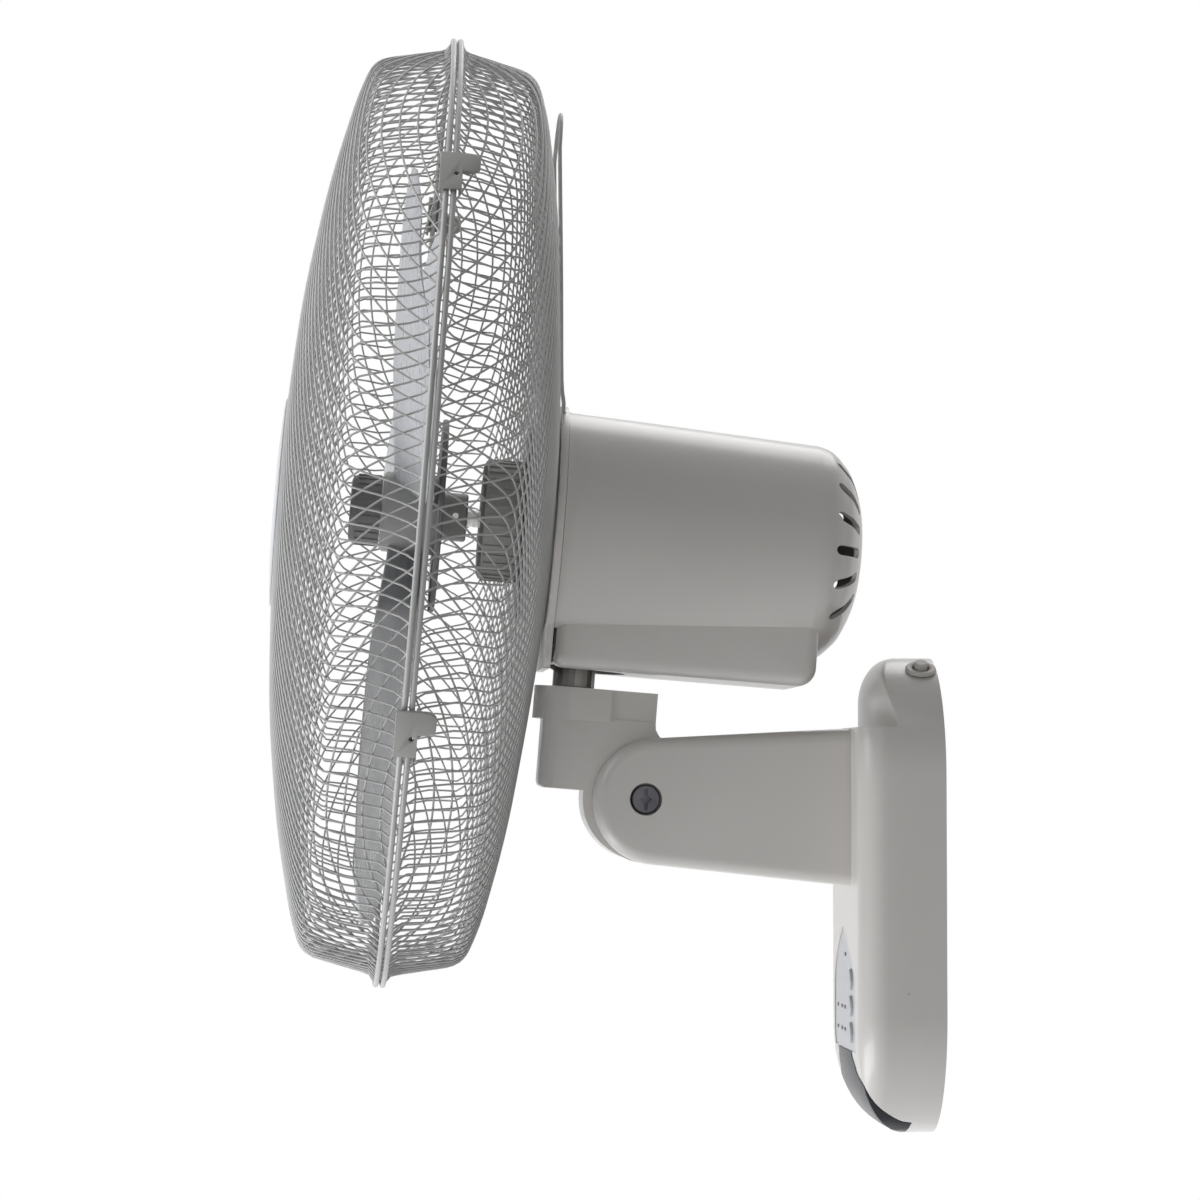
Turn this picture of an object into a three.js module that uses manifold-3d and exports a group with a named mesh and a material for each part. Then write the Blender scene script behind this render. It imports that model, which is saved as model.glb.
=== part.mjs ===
// A wall-mounted oscillating fan, built from its separate pieces.
// Millimetres, +Z up. The wall is the plane Y = 0 and the fan blows towards -Y.
import * as THREE from 'three';
import * as BufferGeometryUtils from 'three/addons/utils/BufferGeometryUtils.js';
import Module from 'manifold-3d';

const wasm = await Module();
wasm.setup();

// ---------------------------------------------------------------- driving dimensions
const GAP = 0.3;                 // clearance between pieces that rest on or sit in each other

// Wall base: a pill outline standing upright on the wall.
const BASE_WIDTH = 115;
const BASE_HEIGHT = 225;
const BASE_DEPTH = 42.4;         // lower front face to the wall
const BASE_UPPER_DEPTH = 34;     // front face above the arm to the wall
const BASE_EDGE_RADIUS = 14;     // rounding between the lower front face and the side
const BASE_EDGE_SET = 0.6;       // the rounding starts this far behind the front face
const BASE_CROWN_RADIUS = 1000;  // slight crown of the lower front face
const UPPER_CROWN_RADIUS = 98;   // crown of the face above the arm
const UPPER_TOP_RISE = 22;       // height over which the face above the arm rolls to the top
const UPPER_TOP_ROLL = 16;       // and how far it rolls back
const CHIN_HEIGHT = 50;          // height of the rounding under the control panel
const CHIN_DEPTH = 32;           // and how far it rolls back
const CHIN_POWER = 2.2;          // squareness of that rounding
const BASE_WALL = 2.5;
const BACK_RIM = 1;              // the shell stops this far from the wall
const LEDGE_Z = 79;              // top of the lower body

// Steel bracket that is screwed to the wall, and the cover behind the electronics.
const BRACKET_WIDTH = 66;
const BRACKET_HEIGHT = 150;
const BRACKET_THICK = 3;
const BRACKET_SCREW_PITCH = 110;
const BRACKET_SCREW_R = 2.6;
const BRACKET_KEYHOLE_R = 5;
const CABLE_HOLE_R = 9;
const CABLE_HOLE_Z = 26;
const COVER_THICK = 2;
const COVER_Y = -6;              // back face of the cover
const HOOK_WIDTH = 16;
const HOOK_THICK = 3;
const HOOK_SPACING = 36;
const LOCK_SCREW_R = 2;
const LOCK_SCREW_Y = -13;
const LOCK_HEAD_R = 3.6;
const LOCK_SEAT = 2.5;            // its head sits this far above the bottom of the base

// Arm and its two cheeks, moulded with the base shell.
const PIVOT_Y = -138.5;
const PIVOT_Z = 45.3;
const ARM_END_R = 29.75;
const ARM_END_Y = -133.2;
const ARM_END_Z = 44.3;
const ARM_WIDTH = 58;
const ARM_EDGE = 6;              // rounding of the arm's long edges
const ARM_ROOT_TOP = 79.3;
const ARM_ROOT_BOTTOM = 3.2;
const ARM_ROOT_Y = -30;
const ARM_WALL = 3;
const SLOT_R = 28.5;             // room for the tongue behind the pivot
const SLOT_REAR = 15.5;
const BOLT_R = 4;
const BOLT_HEAD_R = 6.9;
const BOLT_RECESS_R = 7.6;
const BOLT_RECESS_DEPTH = 5;
const NUT_R = 7;

// Neck: tilts between the cheeks and carries the swivel post.
const REST_TILT = 4.55;          // the head points up this much, degrees
const NECK_HALF = 17;            // half width of the tongue and body
const NECK_TOP = 50;             // above the pivot
const NECK_BOTTOM = 2;
const NECK_FRONT = -50.3;
const NECK_REAR = 2.7;
const TONGUE_R = 20;
const FLANGE_R = 18.3;
const FLANGE_DEPTH = 15.5;
const FLANGE_REAR = -19;
const SWIVEL_Y = -36.6;
const POST_R = 6;
const POST_SIDES = 28;           // round enough to turn in a close bore
const POST_TOP = 70.6;
const POST_SEAT = 38;            // bottom of the post's hole in the neck

// Head, measured from the fan axis and from the plane where the two guards meet.
const AXIS_Z = 126.4;            // above the pivot
const RIM_Y = -117.1;            // in front of the pivot
const RIM_R = 223.6;
const RIM_WIRE_R = 1.3;
const RIM_HALF_GAP = 1.65;
const GUARD_RIBS = 20;
const GUARD_STRIP = 2;
const GUARD_SKIN = 1.6;
const HUB_RING_R = 48;
const RIM_BITE = 1;              // the mesh ends inside the rim wire
const FRONT_PROFILE = [
  [RIM_R - RIM_BITE, RIM_HALF_GAP], [RIM_R * 0.973, 4.5], [RIM_R * 0.928, 38],
  [RIM_R * 0.702, 52.2], [RIM_R * 0.456, 60.8], [HUB_RING_R, 64.3],
];
const REAR_PROFILE = [
  [RIM_R - RIM_BITE, -RIM_HALF_GAP], [RIM_R * 0.973, -4.5], [RIM_R * 0.924, -38.6],
  [RIM_R * 0.702, -51.2], [RIM_R * 0.447, -57.8], [HUB_RING_R, -62.6],
];
const CLIP_ANGLES = [37.5, -28.5, -151.5, 133];   // degrees from the +X side towards the top
const CLIP_HALF = 11;            // half the clip's length along the rim
const CLIP_WALL = 1.6;
const CLIP_TAB = 12.5;           // its tab ends this far behind the rim plane
const CLIP_TAB_WIDTH = 11;
const BADGE_THICK = 1.6;
const HOOP_R = 1;                // wire hoop standing behind the rear guard
const HOOP_HALF = 24;
const HOOP_TOP = 196;
const HOOP_TOP_Y = 52.5;
const HOOP_SEAT_Y = 64.2;

// Motor housing.
const DRUM_DROP = 3.45;          // drum centre below the fan axis
const DRUM_FRONT = 67.4;           // behind the rim plane
const DRUM_SHOULDER = 188;
const DRUM_END = 212;
const DRUM_R_FRONT = 57.8;
const DRUM_R_SHOULDER = 51.6;
const HOUSING_WALL = 2.2;
const FLANGE_FRONT = 63.8;
const FLANGE_PROUD = 2.4;
const BOX_HALF = 36.5;
const BOX_BOTTOM = 68;           // below the fan axis
const BOX_END = 192;
const VENT_COUNT = 18;
const VENT_WIDTH = 2.6;
const SWIVEL_HOLE_R = 24;

// Motor and drive.
const SHAFT_R = 4;
const MOTOR_R = 43;
const STATOR_FRONT = 98;
const STATOR_LENGTH = 34;
const STATOR_BORE_R = 24.5;
const ROTOR_CORE_R = 24.1;
const COIL_R = 37;
const COIL_LENGTH = 13;
const BELL_THICK = 3;
const BELL_FRONT = 76;
const BELL_REAR = 158;
const BEARING_R = 9;
const BEARING_LENGTH = 7;
const SNOUT_R = 10;              // threaded snout that carries the guard and its nut
const SNOUT_FRONT = 34;
const NUT_FRONT = 30;
const NUT_BACK = 49;
const GUARD_NUT_R = 29;
const CLAMP_R = 45.5;
const CLAMP_LIP = -61.3;
const SHAFT_FRONT = -24;         // in front of the rim plane
const SHAFT_BACK = 178;

// Swing drive: a pinion on the swing motor walks round a gear fixed to the post.
const GEAR_MODULE = 1;
const SECTOR_TEETH = 24;
const PINION_TEETH = 12;
const GEAR_THICK = 4;
const GEAR_Z = 66;
const CRADLE_Z = 61;             // plate of the cradle, above the pivot
const CRADLE_HALF = 21;
const CRADLE_THICK = 2.4;
const CRADLE_FRONT = -12;
const SWING_MOTOR_R = 17;
const SWING_MOTOR_H = 10.5;

// Blades.
const BLADE_COUNT = 3;
const BLADE_R = 196;
const HUB_R = 19;
const HUB_FRONT = 17;
const HUB_BACK = -10;
const HUB_PLATE_R = 46;          // round plate that carries the blade roots
const HUB_PLATE_BACK = -11.5;
const HUB_PLATE_THICK = 3;
const BARREL_R = 11.4;
const BARREL_BACK = -23.6;
const PIN_R = 1.5;               // cross pin that drives the hub
const PIN_Y = 18;
const CAP_R = 17;
const CAP_FRONT = 32;
const BLADE_THICK = 2;
const BLADE_TURN = -4;           // where the first blade stands, degrees from straight down

// Cord gland on the near shoulder of the base, closed by a plug.
const GLAND_TURN = 28;           // degrees from the top of the pill
const GLAND_Y = -8.6;
const GLAND_NECK_R = 5.4;
const GLAND_COLLAR_R = 7.2;
const GLAND_BORE_R = 4.2;
const PLUG_R = 3.1;

// Controls.
const PANEL_HALF = 36;
const PANEL_BOTTOM = -BASE_HEIGHT / 2 + 40;
const PANEL_TOP = PANEL_BOTTOM + 57.5;
const PANEL_THICK = 1;
const BUTTON_R = 4.75;
const BUTTON_X = 25;
const BUTTON_ZS = [33.5, 21, 8.5].map((rise) => PANEL_BOTTOM + rise);
const BUTTON_TRAVEL = 0.8;
const BOARD_Y = -31;
const BOARD_THICK = 1.6;
const BOARD_BOTTOM = PANEL_BOTTOM - 11.5;
const BOARD_HEIGHT = 62;
const WINDOW_THICK = 2.2;
const WINDOW_BACK = -17;

const COLOURS = {
  plastic: 0xcfccc8, face: 0xd9dade, wire: 0xa9a7a2, steel: 0x6f6b66, bright: 0xb9b9b6,
  dark: 0x3b3b3d, blade: 0xb7bcc4, board: 0x2f6b45, copper: 0xa8622f, brass: 0xb08d4a,
};

// ---------------------------------------------------------------- solids and booleans
function solidOf(geometry) {
  const bare = geometry.clone();
  bare.deleteAttribute('normal');
  bare.deleteAttribute('uv');
  const merged = BufferGeometryUtils.mergeVertices(bare, 1e-4);
  return new wasm.Manifold(new wasm.Mesh({
    numProp: 3,
    vertProperties: new Float32Array(merged.attributes.position.array),
    triVerts: new Uint32Array(merged.index.array),
  }));
}

function geometryOf(solid) {
  const mesh = solid.getMesh();
  const geometry = new THREE.BufferGeometry();
  geometry.setAttribute('position', new THREE.BufferAttribute(mesh.vertProperties, 3));
  geometry.setIndex(new THREE.BufferAttribute(mesh.triVerts, 1));
  return geometry;
}

const join = (...parts) => geometryOf(parts.map(solidOf).reduce((a, b) => a.add(b)));
const cut = (body, ...tools) => geometryOf(tools.map(solidOf).reduce((a, b) => a.subtract(b), solidOf(body)));
const overlap = (a, b) => geometryOf(solidOf(a).intersect(solidOf(b)));

// ---------------------------------------------------------------- shape helpers
function box(x0, x1, y0, y1, z0, z1) {
  const geometry = new THREE.BoxGeometry(x1 - x0, y1 - y0, z1 - z0);
  return geometry.translate((x0 + x1) / 2, (y0 + y1) / 2, (z0 + z1) / 2);
}

// A cylinder between two stations along X, Y or Z.
function rod(axis, radius, from, to, sides = 16) {
  const geometry = new THREE.CylinderGeometry(radius, radius, Math.abs(to - from), sides);
  if (axis === 'x') geometry.rotateZ(Math.PI / 2);
  if (axis === 'z') geometry.rotateX(Math.PI / 2);
  const middle = (from + to) / 2;
  return geometry.translate(axis === 'x' ? middle : 0, axis === 'y' ? middle : 0, axis === 'z' ? middle : 0);
}

// A body turned about the fan axis (local Y, front towards -Y) from [radius, ahead] points.
function turned(points, segments = 24) {
  const profile = points.map(([radius, ahead]) => new THREE.Vector2(radius, -ahead));
  const area = profile.reduce((sum, p, i) => {
    const q = profile[(i + 1) % profile.length];
    return sum + p.x * q.y - q.x * p.y;
  }, 0);
  if (area < 0) profile.reverse();
  const closed = profile.every((p) => p.x > 1e-6);
  if (closed) profile.push(profile[0].clone());
  return new THREE.LatheGeometry(profile, segments);
}

// An outline drawn in (Y, Z) and extruded across X.
function acrossX(points, x0, x1, bevel = 0) {
  const shape = new THREE.Shape(points.map(([y, z]) => new THREE.Vector2(y, z)));
  const geometry = new THREE.ExtrudeGeometry(shape, {
    depth: x1 - x0 - 2 * bevel, bevelEnabled: bevel > 0, bevelThickness: bevel, bevelSize: bevel,
    bevelOffset: -bevel, bevelSegments: 2, curveSegments: 8,
  });
  geometry.applyMatrix4(new THREE.Matrix4().makeBasis(
    new THREE.Vector3(0, 1, 0), new THREE.Vector3(0, 0, 1), new THREE.Vector3(1, 0, 0)));
  return geometry.translate(x0 + bevel, 0, 0);
}

// An outline drawn in (X, Y) and extruded up Z.
function upZ(points, z0, z1) {
  const shape = new THREE.Shape(points.map(([x, y]) => new THREE.Vector2(x, y)));
  return new THREE.ExtrudeGeometry(shape, { depth: z1 - z0, bevelEnabled: false }).translate(0, 0, z0);
}

// An outline drawn in (X, Z) and extruded along Y.
function alongY(points, y0, y1) {
  const shape = new THREE.Shape(points.map(([x, z]) => new THREE.Vector2(x, z)));
  const geometry = new THREE.ExtrudeGeometry(shape, { depth: y1 - y0, bevelEnabled: false });
  return geometry.rotateX(Math.PI / 2).translate(0, y1, 0);
}

function arc(cx, cy, radius, fromDeg, toDeg, steps) {
  return Array.from({ length: steps + 1 }, (_, i) => {
    const angle = THREE.MathUtils.degToRad(fromDeg + (toDeg - fromDeg) * i / steps);
    return [cx + radius * Math.cos(angle), cy + radius * Math.sin(angle)];
  });
}

// A closed body lofted through rings of points, each ring the same length.
function loft(rings) {
  const count = rings[0].length;
  const positions = rings.flat();
  const index = [];
  for (let k = 0; k < rings.length - 1; k += 1) {
    for (let i = 0; i < count; i += 1) {
      const a = k * count + i;
      const b = k * count + (i + 1) % count;
      index.push(a, b, b + count, a, b + count, a + count);
    }
  }
  for (const [k, flip] of [[0, true], [rings.length - 1, false]]) {
    const centre = rings[k].reduce((c, p) => c.map((v, axis) => v + p[axis] / count), [0, 0, 0]);
    positions.push(centre);
    const hub = positions.length - 1;
    for (let i = 0; i < count; i += 1) {
      const a = k * count + i;
      const b = k * count + (i + 1) % count;
      index.push(...(flip ? [hub, b, a] : [hub, a, b]));
    }
  }
  return meshGeometry(positions, index);
}

function meshGeometry(positions, index) {
  const geometry = new THREE.BufferGeometry();
  geometry.setAttribute('position', new THREE.BufferAttribute(new Float32Array(positions.flat()), 3));
  geometry.setIndex(index);
  return geometry;
}

// ---------------------------------------------------------------- wall base
const baseR = BASE_WIDTH / 2;
const baseStraight = (BASE_HEIGHT - BASE_WIDTH) / 2;
const chinCentreZ = CHIN_HEIGHT - BASE_HEIGHT / 2;
const chinBackY = -(BASE_DEPTH - CHIN_DEPTH);
const upperRollZ = BASE_HEIGHT / 2 - UPPER_TOP_RISE;

// Pill outline in (X, Z), drawn in by an inset.
function pill(inset, steps = 10) {
  const radius = baseR - inset;
  return [...arc(0, baseStraight, radius, 0, 180, steps), ...arc(0, -baseStraight, radius, 180, 360, steps)];
}

const pillRing = (inset, y) => pill(inset).map(([x, z]) => [x, y, z]);

// Front of the lower body: slightly crowned, rolling back towards the bottom.
function lowerFront(x, z) {
  const drop = Math.max(0, (chinCentreZ - z) / CHIN_HEIGHT);
  const roll = drop >= 1 ? 0 : (1 - drop ** CHIN_POWER) ** (1 / CHIN_POWER);
  return chinBackY - CHIN_DEPTH * roll + x * x / (2 * BASE_CROWN_RADIUS);
}

// Front of the body above the arm: well crowned, rolling back towards the top.
function upperFront(x, z) {
  const rise = Math.min(1, Math.max(0, (z - upperRollZ) / UPPER_TOP_RISE));
  const roll = Math.sqrt(1 - rise * rise);
  return -(BASE_UPPER_DEPTH - UPPER_TOP_ROLL) - UPPER_TOP_ROLL * roll + x * x / (2 * UPPER_CROWN_RADIUS);
}

const spread = (from, to, steps) => Array.from({ length: steps + 1 }, (_, i) => from + (to - from) * i / steps);

// The space between a front surface y(x, z) and a flat plane behind it.
function behind(front, zs, backY, shift = 0) {
  const xs = spread(-baseR - 2, baseR + 2, 8);
  const positions = [];
  const index = [];
  const at = (side, i, j) => side * xs.length * zs.length + j * xs.length + i;
  for (const side of [0, 1]) {
    for (const z of zs) for (const x of xs) positions.push([x, side ? backY : front(x, z) + shift, z]);
  }
  const quad = (a, b, c, d) => index.push(a, b, c, a, c, d);
  for (let j = 0; j < zs.length - 1; j += 1) {
    for (let i = 0; i < xs.length - 1; i += 1) {
      quad(at(0, i, j), at(0, i + 1, j), at(0, i + 1, j + 1), at(0, i, j + 1));
      quad(at(1, i, j), at(1, i, j + 1), at(1, i + 1, j + 1), at(1, i + 1, j));
    }
    quad(at(0, 0, j), at(0, 0, j + 1), at(1, 0, j + 1), at(1, 0, j));
    const last = xs.length - 1;
    quad(at(0, last, j), at(1, last, j), at(1, last, j + 1), at(0, last, j + 1));
  }
  const top = zs.length - 1;
  for (let i = 0; i < xs.length - 1; i += 1) {
    quad(at(0, i, 0), at(1, i, 0), at(1, i + 1, 0), at(0, i + 1, 0));
    quad(at(0, i, top), at(0, i + 1, top), at(1, i + 1, top), at(1, i, top));
  }
  return meshGeometry(positions, index);
}

// Solid pill with rounded front edges, drawn in by a wall thickness on every side.
function lowerBlock(wall, backY) {
  const frontY = -BASE_DEPTH + BASE_EDGE_SET;
  const edge = BASE_EDGE_RADIUS;
  const rings = [pillRing(wall, backY)];
  for (const angle of spread(0, 90, 3)) {
    const turn = THREE.MathUtils.degToRad(angle);
    const inset = wall + edge * (1 - Math.cos(turn));
    rings.push(pillRing(inset, frontY + wall + edge - edge * Math.sin(turn)));
  }
  const chinZs = spread(0, 1, 5).map((t) => chinCentreZ - CHIN_HEIGHT * Math.sin(t * Math.PI / 2));
  const zs = [-BASE_HEIGHT / 2 - 2, ...chinZs.reverse(), 0, LEDGE_Z - wall];
  return overlap(loft(rings), behind(lowerFront, zs, backY + 1, wall));
}

function upperBlock(wall, backY) {
  const rollZs = spread(0, 1, 4).map((t) => upperRollZ + UPPER_TOP_RISE * Math.sin(t * Math.PI / 2));
  const zs = [-BASE_HEIGHT / 2 + CHIN_HEIGHT, ...rollZs, BASE_HEIGHT / 2 + 2];
  const prism = alongY(pill(wall), -BASE_UPPER_DEPTH - 1, backY);
  return overlap(prism, behind(upperFront, zs, backY + 1, wall));
}

// Side view of the arm: a round end and two straight lines back to the base.
function armOutline(inset, rootY) {
  const radius = ARM_END_R - inset;
  return [
    [rootY, ARM_ROOT_BOTTOM + inset],
    ...arc(ARM_END_Y, ARM_END_Z, radius, 265, 93, 12),
    [rootY, ARM_ROOT_TOP - inset],
  ];
}

const slotHalf = NECK_HALF + GAP;
const cheekOuter = ARM_WIDTH / 2;

function tongueSlot() {
  const reach = 60;
  const rise = Math.sqrt(SLOT_R ** 2 - SLOT_REAR ** 2);
  const top = THREE.MathUtils.radToDeg(Math.atan2(rise, SLOT_REAR));
  return acrossX([
    [PIVOT_Y - reach, PIVOT_Z - reach], [PIVOT_Y, PIVOT_Z - reach],
    ...arc(PIVOT_Y, PIVOT_Z, SLOT_R, -90, top, 10),
    [PIVOT_Y + SLOT_REAR, PIVOT_Z + reach], [PIVOT_Y - reach, PIVOT_Z + reach],
  ], -slotHalf, slotHalf);
}

const pivotRod = (radius, from, to) => rod('x', radius, from, to).translate(0, PIVOT_Y, PIVOT_Z);

// Lens-shaped outline of the control panel: a pointed arch with a flat foot.
function panelOutline(grow) {
  const height = PANEL_TOP - PANEL_BOTTOM + grow;
  const half = PANEL_HALF + grow;
  const side = spread(0, 1, 6).map((t) => [half * Math.sin((1 - t) * Math.PI / 2) ** 0.8, PANEL_BOTTOM + height * t]);
  const left = side.slice(0, -1).reverse().map(([x, z]) => [-x, z]);
  return [...side, ...left];
}

// A skin of the lower body, as thick as the wall that it lies in or thinner.
const skin = (thick) => cut(lowerBlock(0, -BACK_RIM), lowerBlock(thick, 1));

const glandTurn = THREE.MathUtils.degToRad(GLAND_TURN);
function onShoulder(geometry) {
  // From the top of the pill round to its near shoulder.
  return geometry.rotateY(glandTurn).translate(
    baseR * Math.sin(glandTurn), GLAND_Y, baseStraight + baseR * Math.cos(glandTurn));
}

const coverInset = BASE_WALL + GAP;
const coverScrews = [[-40, 60], [40, 60], [-40, -60], [40, -60]];
const boardScrews = [-24, 24].map((x) => [x, BOARD_BOTTOM + BOARD_HEIGHT - 8]);
const chinZ = -BASE_HEIGHT / 2;

// The window starts under the panel and wraps round the chin, inside the edge rounding.
function windowRegion(grow) {
  const side = [
    [46.5, PANEL_BOTTOM - GAP + grow], [45, chinZ + 32.5], [41, chinZ + 22.5], [34, chinZ + 14.5], [28, chinZ + 10.5],
    [28, chinZ - 5],
  ].map(([x, z]) => [x + grow, z]);
  const outline = [...side, ...side.slice().reverse().map(([x, z]) => [-x, z])];
  return alongY(outline.reverse(), -BASE_DEPTH - 5, WINDOW_BACK + grow);
}

// Room for a piece that lies in the skin, open to the outside.
const pocket = (region, depth) => cut(region, lowerBlock(depth, 1));

function baseShell() {
  const outer = join(
    upperBlock(0, -BACK_RIM), lowerBlock(0, -BACK_RIM),
    acrossX(armOutline(0, ARM_ROOT_Y), -cheekOuter, cheekOuter, ARM_EDGE),
  );
  const hollow = join(upperBlock(BASE_WALL, 1), lowerBlock(BASE_WALL, 1));
  const armEnd = PIVOT_Y + SLOT_R + ARM_WALL;
  const armHollow = acrossX([
    [ARM_ROOT_Y - 3, ARM_ROOT_BOTTOM + 6], [armEnd, ARM_END_Z - 22], [armEnd, ARM_END_Z + 21],
    [ARM_ROOT_Y - 3, LEDGE_Z - 8],
  ], -cheekOuter + ARM_WALL, cheekOuter - ARM_WALL);
  const studs = coverScrews.map(([x, z]) => rod('y', 4, COVER_Y - COVER_THICK - GAP, lowerFront(x, z) + 1, 10)
    .translate(x, 0, z));
  const studHoles = [
    ...coverScrews.map(([x, z]) => rod('y', 1.5 + GAP, COVER_Y, -22, 10).translate(x, 0, z)),
    ...boardScrews.map(([x, z]) => rod('y', 1.3 + GAP, BOARD_Y, BOARD_Y - BOARD_THICK - 5, 10).translate(x, 0, z)),
  ];
  const boardPosts = boardScrews.map(([x, z]) => rod('y', 3.2, BOARD_Y - BOARD_THICK - GAP,
    lowerFront(x, z) + PANEL_THICK + 1, 10).translate(x, 0, z));
  const lockBoss = rod('z', LOCK_HEAD_R + 3, chinZ + 1, chinZ + LOCK_SEAT + 3, 12).translate(0, LOCK_SCREW_Y, 0);
  let shell = join(cut(outer, hollow, armHollow), ...studs, ...boardPosts, lockBoss);
  shell = cut(shell,
    tongueSlot(),
    pivotRod(BOLT_R + GAP, -cheekOuter - 1, cheekOuter + 1),
    pivotRod(BOLT_RECESS_R, cheekOuter - BOLT_RECESS_DEPTH, cheekOuter + 1),
    pivotRod(BOLT_RECESS_R, -cheekOuter - 1, -cheekOuter + BOLT_RECESS_DEPTH + 2),
    pocket(alongY(panelOutline(GAP), -BASE_DEPTH - 4, BOARD_Y), PANEL_THICK + GAP),
    pocket(windowRegion(GAP), BASE_WALL + 1),
    ...BUTTON_ZS.map((z) => rod('y', BUTTON_R + GAP, -BASE_DEPTH - 4, -BASE_DEPTH + 8).translate(BUTTON_X, 0, z)),
    onShoulder(rod('z', GLAND_NECK_R + GAP, -8, 4, 20)),
    ...studHoles,
    box(-9, 9, -8, 0, chinZ - 1, chinZ + 6),
    rod('z', LOCK_SCREW_R + GAP, chinZ - 3, chinZ + 8, 12).translate(0, LOCK_SCREW_Y, 0),
    rod('z', LOCK_HEAD_R + GAP, chinZ - 3, chinZ + LOCK_SEAT, 12).translate(0, LOCK_SCREW_Y, 0),
  );
  return shell;
}

function wallBracket() {
  const half = BRACKET_WIDTH / 2;
  const plate = box(-half, half, -BRACKET_THICK, 0, -BRACKET_HEIGHT / 2, BRACKET_HEIGHT / 2);
  const tail = box(-8, 8, -BRACKET_THICK, 0, chinZ + 1, -BRACKET_HEIGHT / 2 + 1);
  const footZ = chinZ + LOCK_SEAT + 3 + GAP;
  const foot = box(-8, 8, LOCK_SCREW_Y - 5, -BRACKET_THICK + 0.5, footZ, footZ + BRACKET_THICK);
  const hooks = [-1, 1].flatMap((side) => {
    const x = side * HOOK_SPACING / 2;
    return [
      box(x - HOOK_WIDTH / 2, x + HOOK_WIDTH / 2, COVER_Y - COVER_THICK - 4, -BRACKET_THICK + 0.5, 40, 40 + HOOK_THICK),
      box(x - HOOK_WIDTH / 2, x + HOOK_WIDTH / 2, COVER_Y - COVER_THICK - 4, COVER_Y - COVER_THICK - 1, 40, 48),
    ];
  });
  const holes = [];
  for (const x of [-half + 10, half - 10]) {
    for (const z of [-BRACKET_SCREW_PITCH / 2, BRACKET_SCREW_PITCH / 2]) {
      holes.push(rod('y', BRACKET_KEYHOLE_R, -BRACKET_THICK - 1, 1, 16).translate(x, 0, z - 7));
      holes.push(box(x - BRACKET_SCREW_R, x + BRACKET_SCREW_R, -BRACKET_THICK - 1, 1, z - 7, z));
      holes.push(rod('y', BRACKET_SCREW_R, -BRACKET_THICK - 1, 1, 12).translate(x, 0, z));
    }
  }
  const tapped = rod('z', LOCK_SCREW_R + GAP / 2, chinZ, chinZ + 20, 12).translate(0, LOCK_SCREW_Y, 0);
  return cut(join(plate, tail, foot, ...hooks), ...holes, tapped,
    rod('y', CABLE_HOLE_R, -BRACKET_THICK - 1, 1, 20).translate(0, 0, CABLE_HOLE_Z));
}

function backCover() {
  const sheet = alongY(pill(coverInset), COVER_Y - COVER_THICK, COVER_Y);
  const slots = [-1, 1].map((side) => {
    const x = side * HOOK_SPACING / 2;
    return box(x - HOOK_WIDTH / 2 - GAP, x + HOOK_WIDTH / 2 + GAP, COVER_Y - COVER_THICK - 1, COVER_Y + 1, 39.7, 49);
  });
  const holes = coverScrews.map(([x, z]) => rod('y', 1.6 + GAP, COVER_Y - COVER_THICK - 1, COVER_Y + 1, 10)
    .translate(x, 0, z));
  return cut(sheet, ...slots, ...holes,
    rod('y', CABLE_HOLE_R - 1, COVER_Y - COVER_THICK - 1, COVER_Y + 1, 20).translate(0, 0, CABLE_HOLE_Z),
    onShoulder(rod('z', GLAND_NECK_R + 1, -12, 2)),
    box(-9, 9, COVER_Y - COVER_THICK - 1, COVER_Y + 1, chinZ, chinZ + 12));
}

// Pan-head screw along local -Z from its head seat at z = 0; the head stands above.
function screw(shankR, headR, headH, length, sides = 8) {
  const slot = box(-headR, headR, -0.4, 0.4, headH * 0.5, headH + 1);
  return cut(join(rod('z', shankR, -length, 0.2, sides), rod('z', headR, 0, headH, 12)), slot);
}

function pivotBolt() {
  const headSeat = cheekOuter - BOLT_RECESS_DEPTH + GAP;
  const head = rod('x', BOLT_HEAD_R, headSeat, cheekOuter - 1);
  const shank = rod('x', BOLT_R, -cheekOuter + 1.5, headSeat + 0.5);
  const cross = [
    box(cheekOuter - 2.6, cheekOuter, -0.7, 0.7, -4.6, 4.6),
    box(cheekOuter - 3.2, cheekOuter, -2, 2, -2, 2).rotateX(Math.PI / 4),
  ];
  return cut(join(head, shank), ...cross).translate(0, PIVOT_Y, PIVOT_Z);
}

function pivotNut() {
  const seat = -cheekOuter + BOLT_RECESS_DEPTH + 2 - GAP;
  const nut = rod('x', NUT_R, -cheekOuter + 1.2, seat, 6);
  return cut(nut, rod('x', BOLT_R + 0.05, -cheekOuter, seat + 1)).translate(0, PIVOT_Y, PIVOT_Z);
}

const buttonBack = lowerFront(BUTTON_X, BUTTON_ZS[1]) + BASE_WALL + 1.9;

function button() {
  const face = lowerFront(BUTTON_X, BUTTON_ZS[1]);
  const stem = rod('y', BUTTON_R, face - 0.9, buttonBack);
  const skirt = rod('y', BUTTON_R + 1, buttonBack - 1, buttonBack);
  return join(stem, skirt);
}

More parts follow.
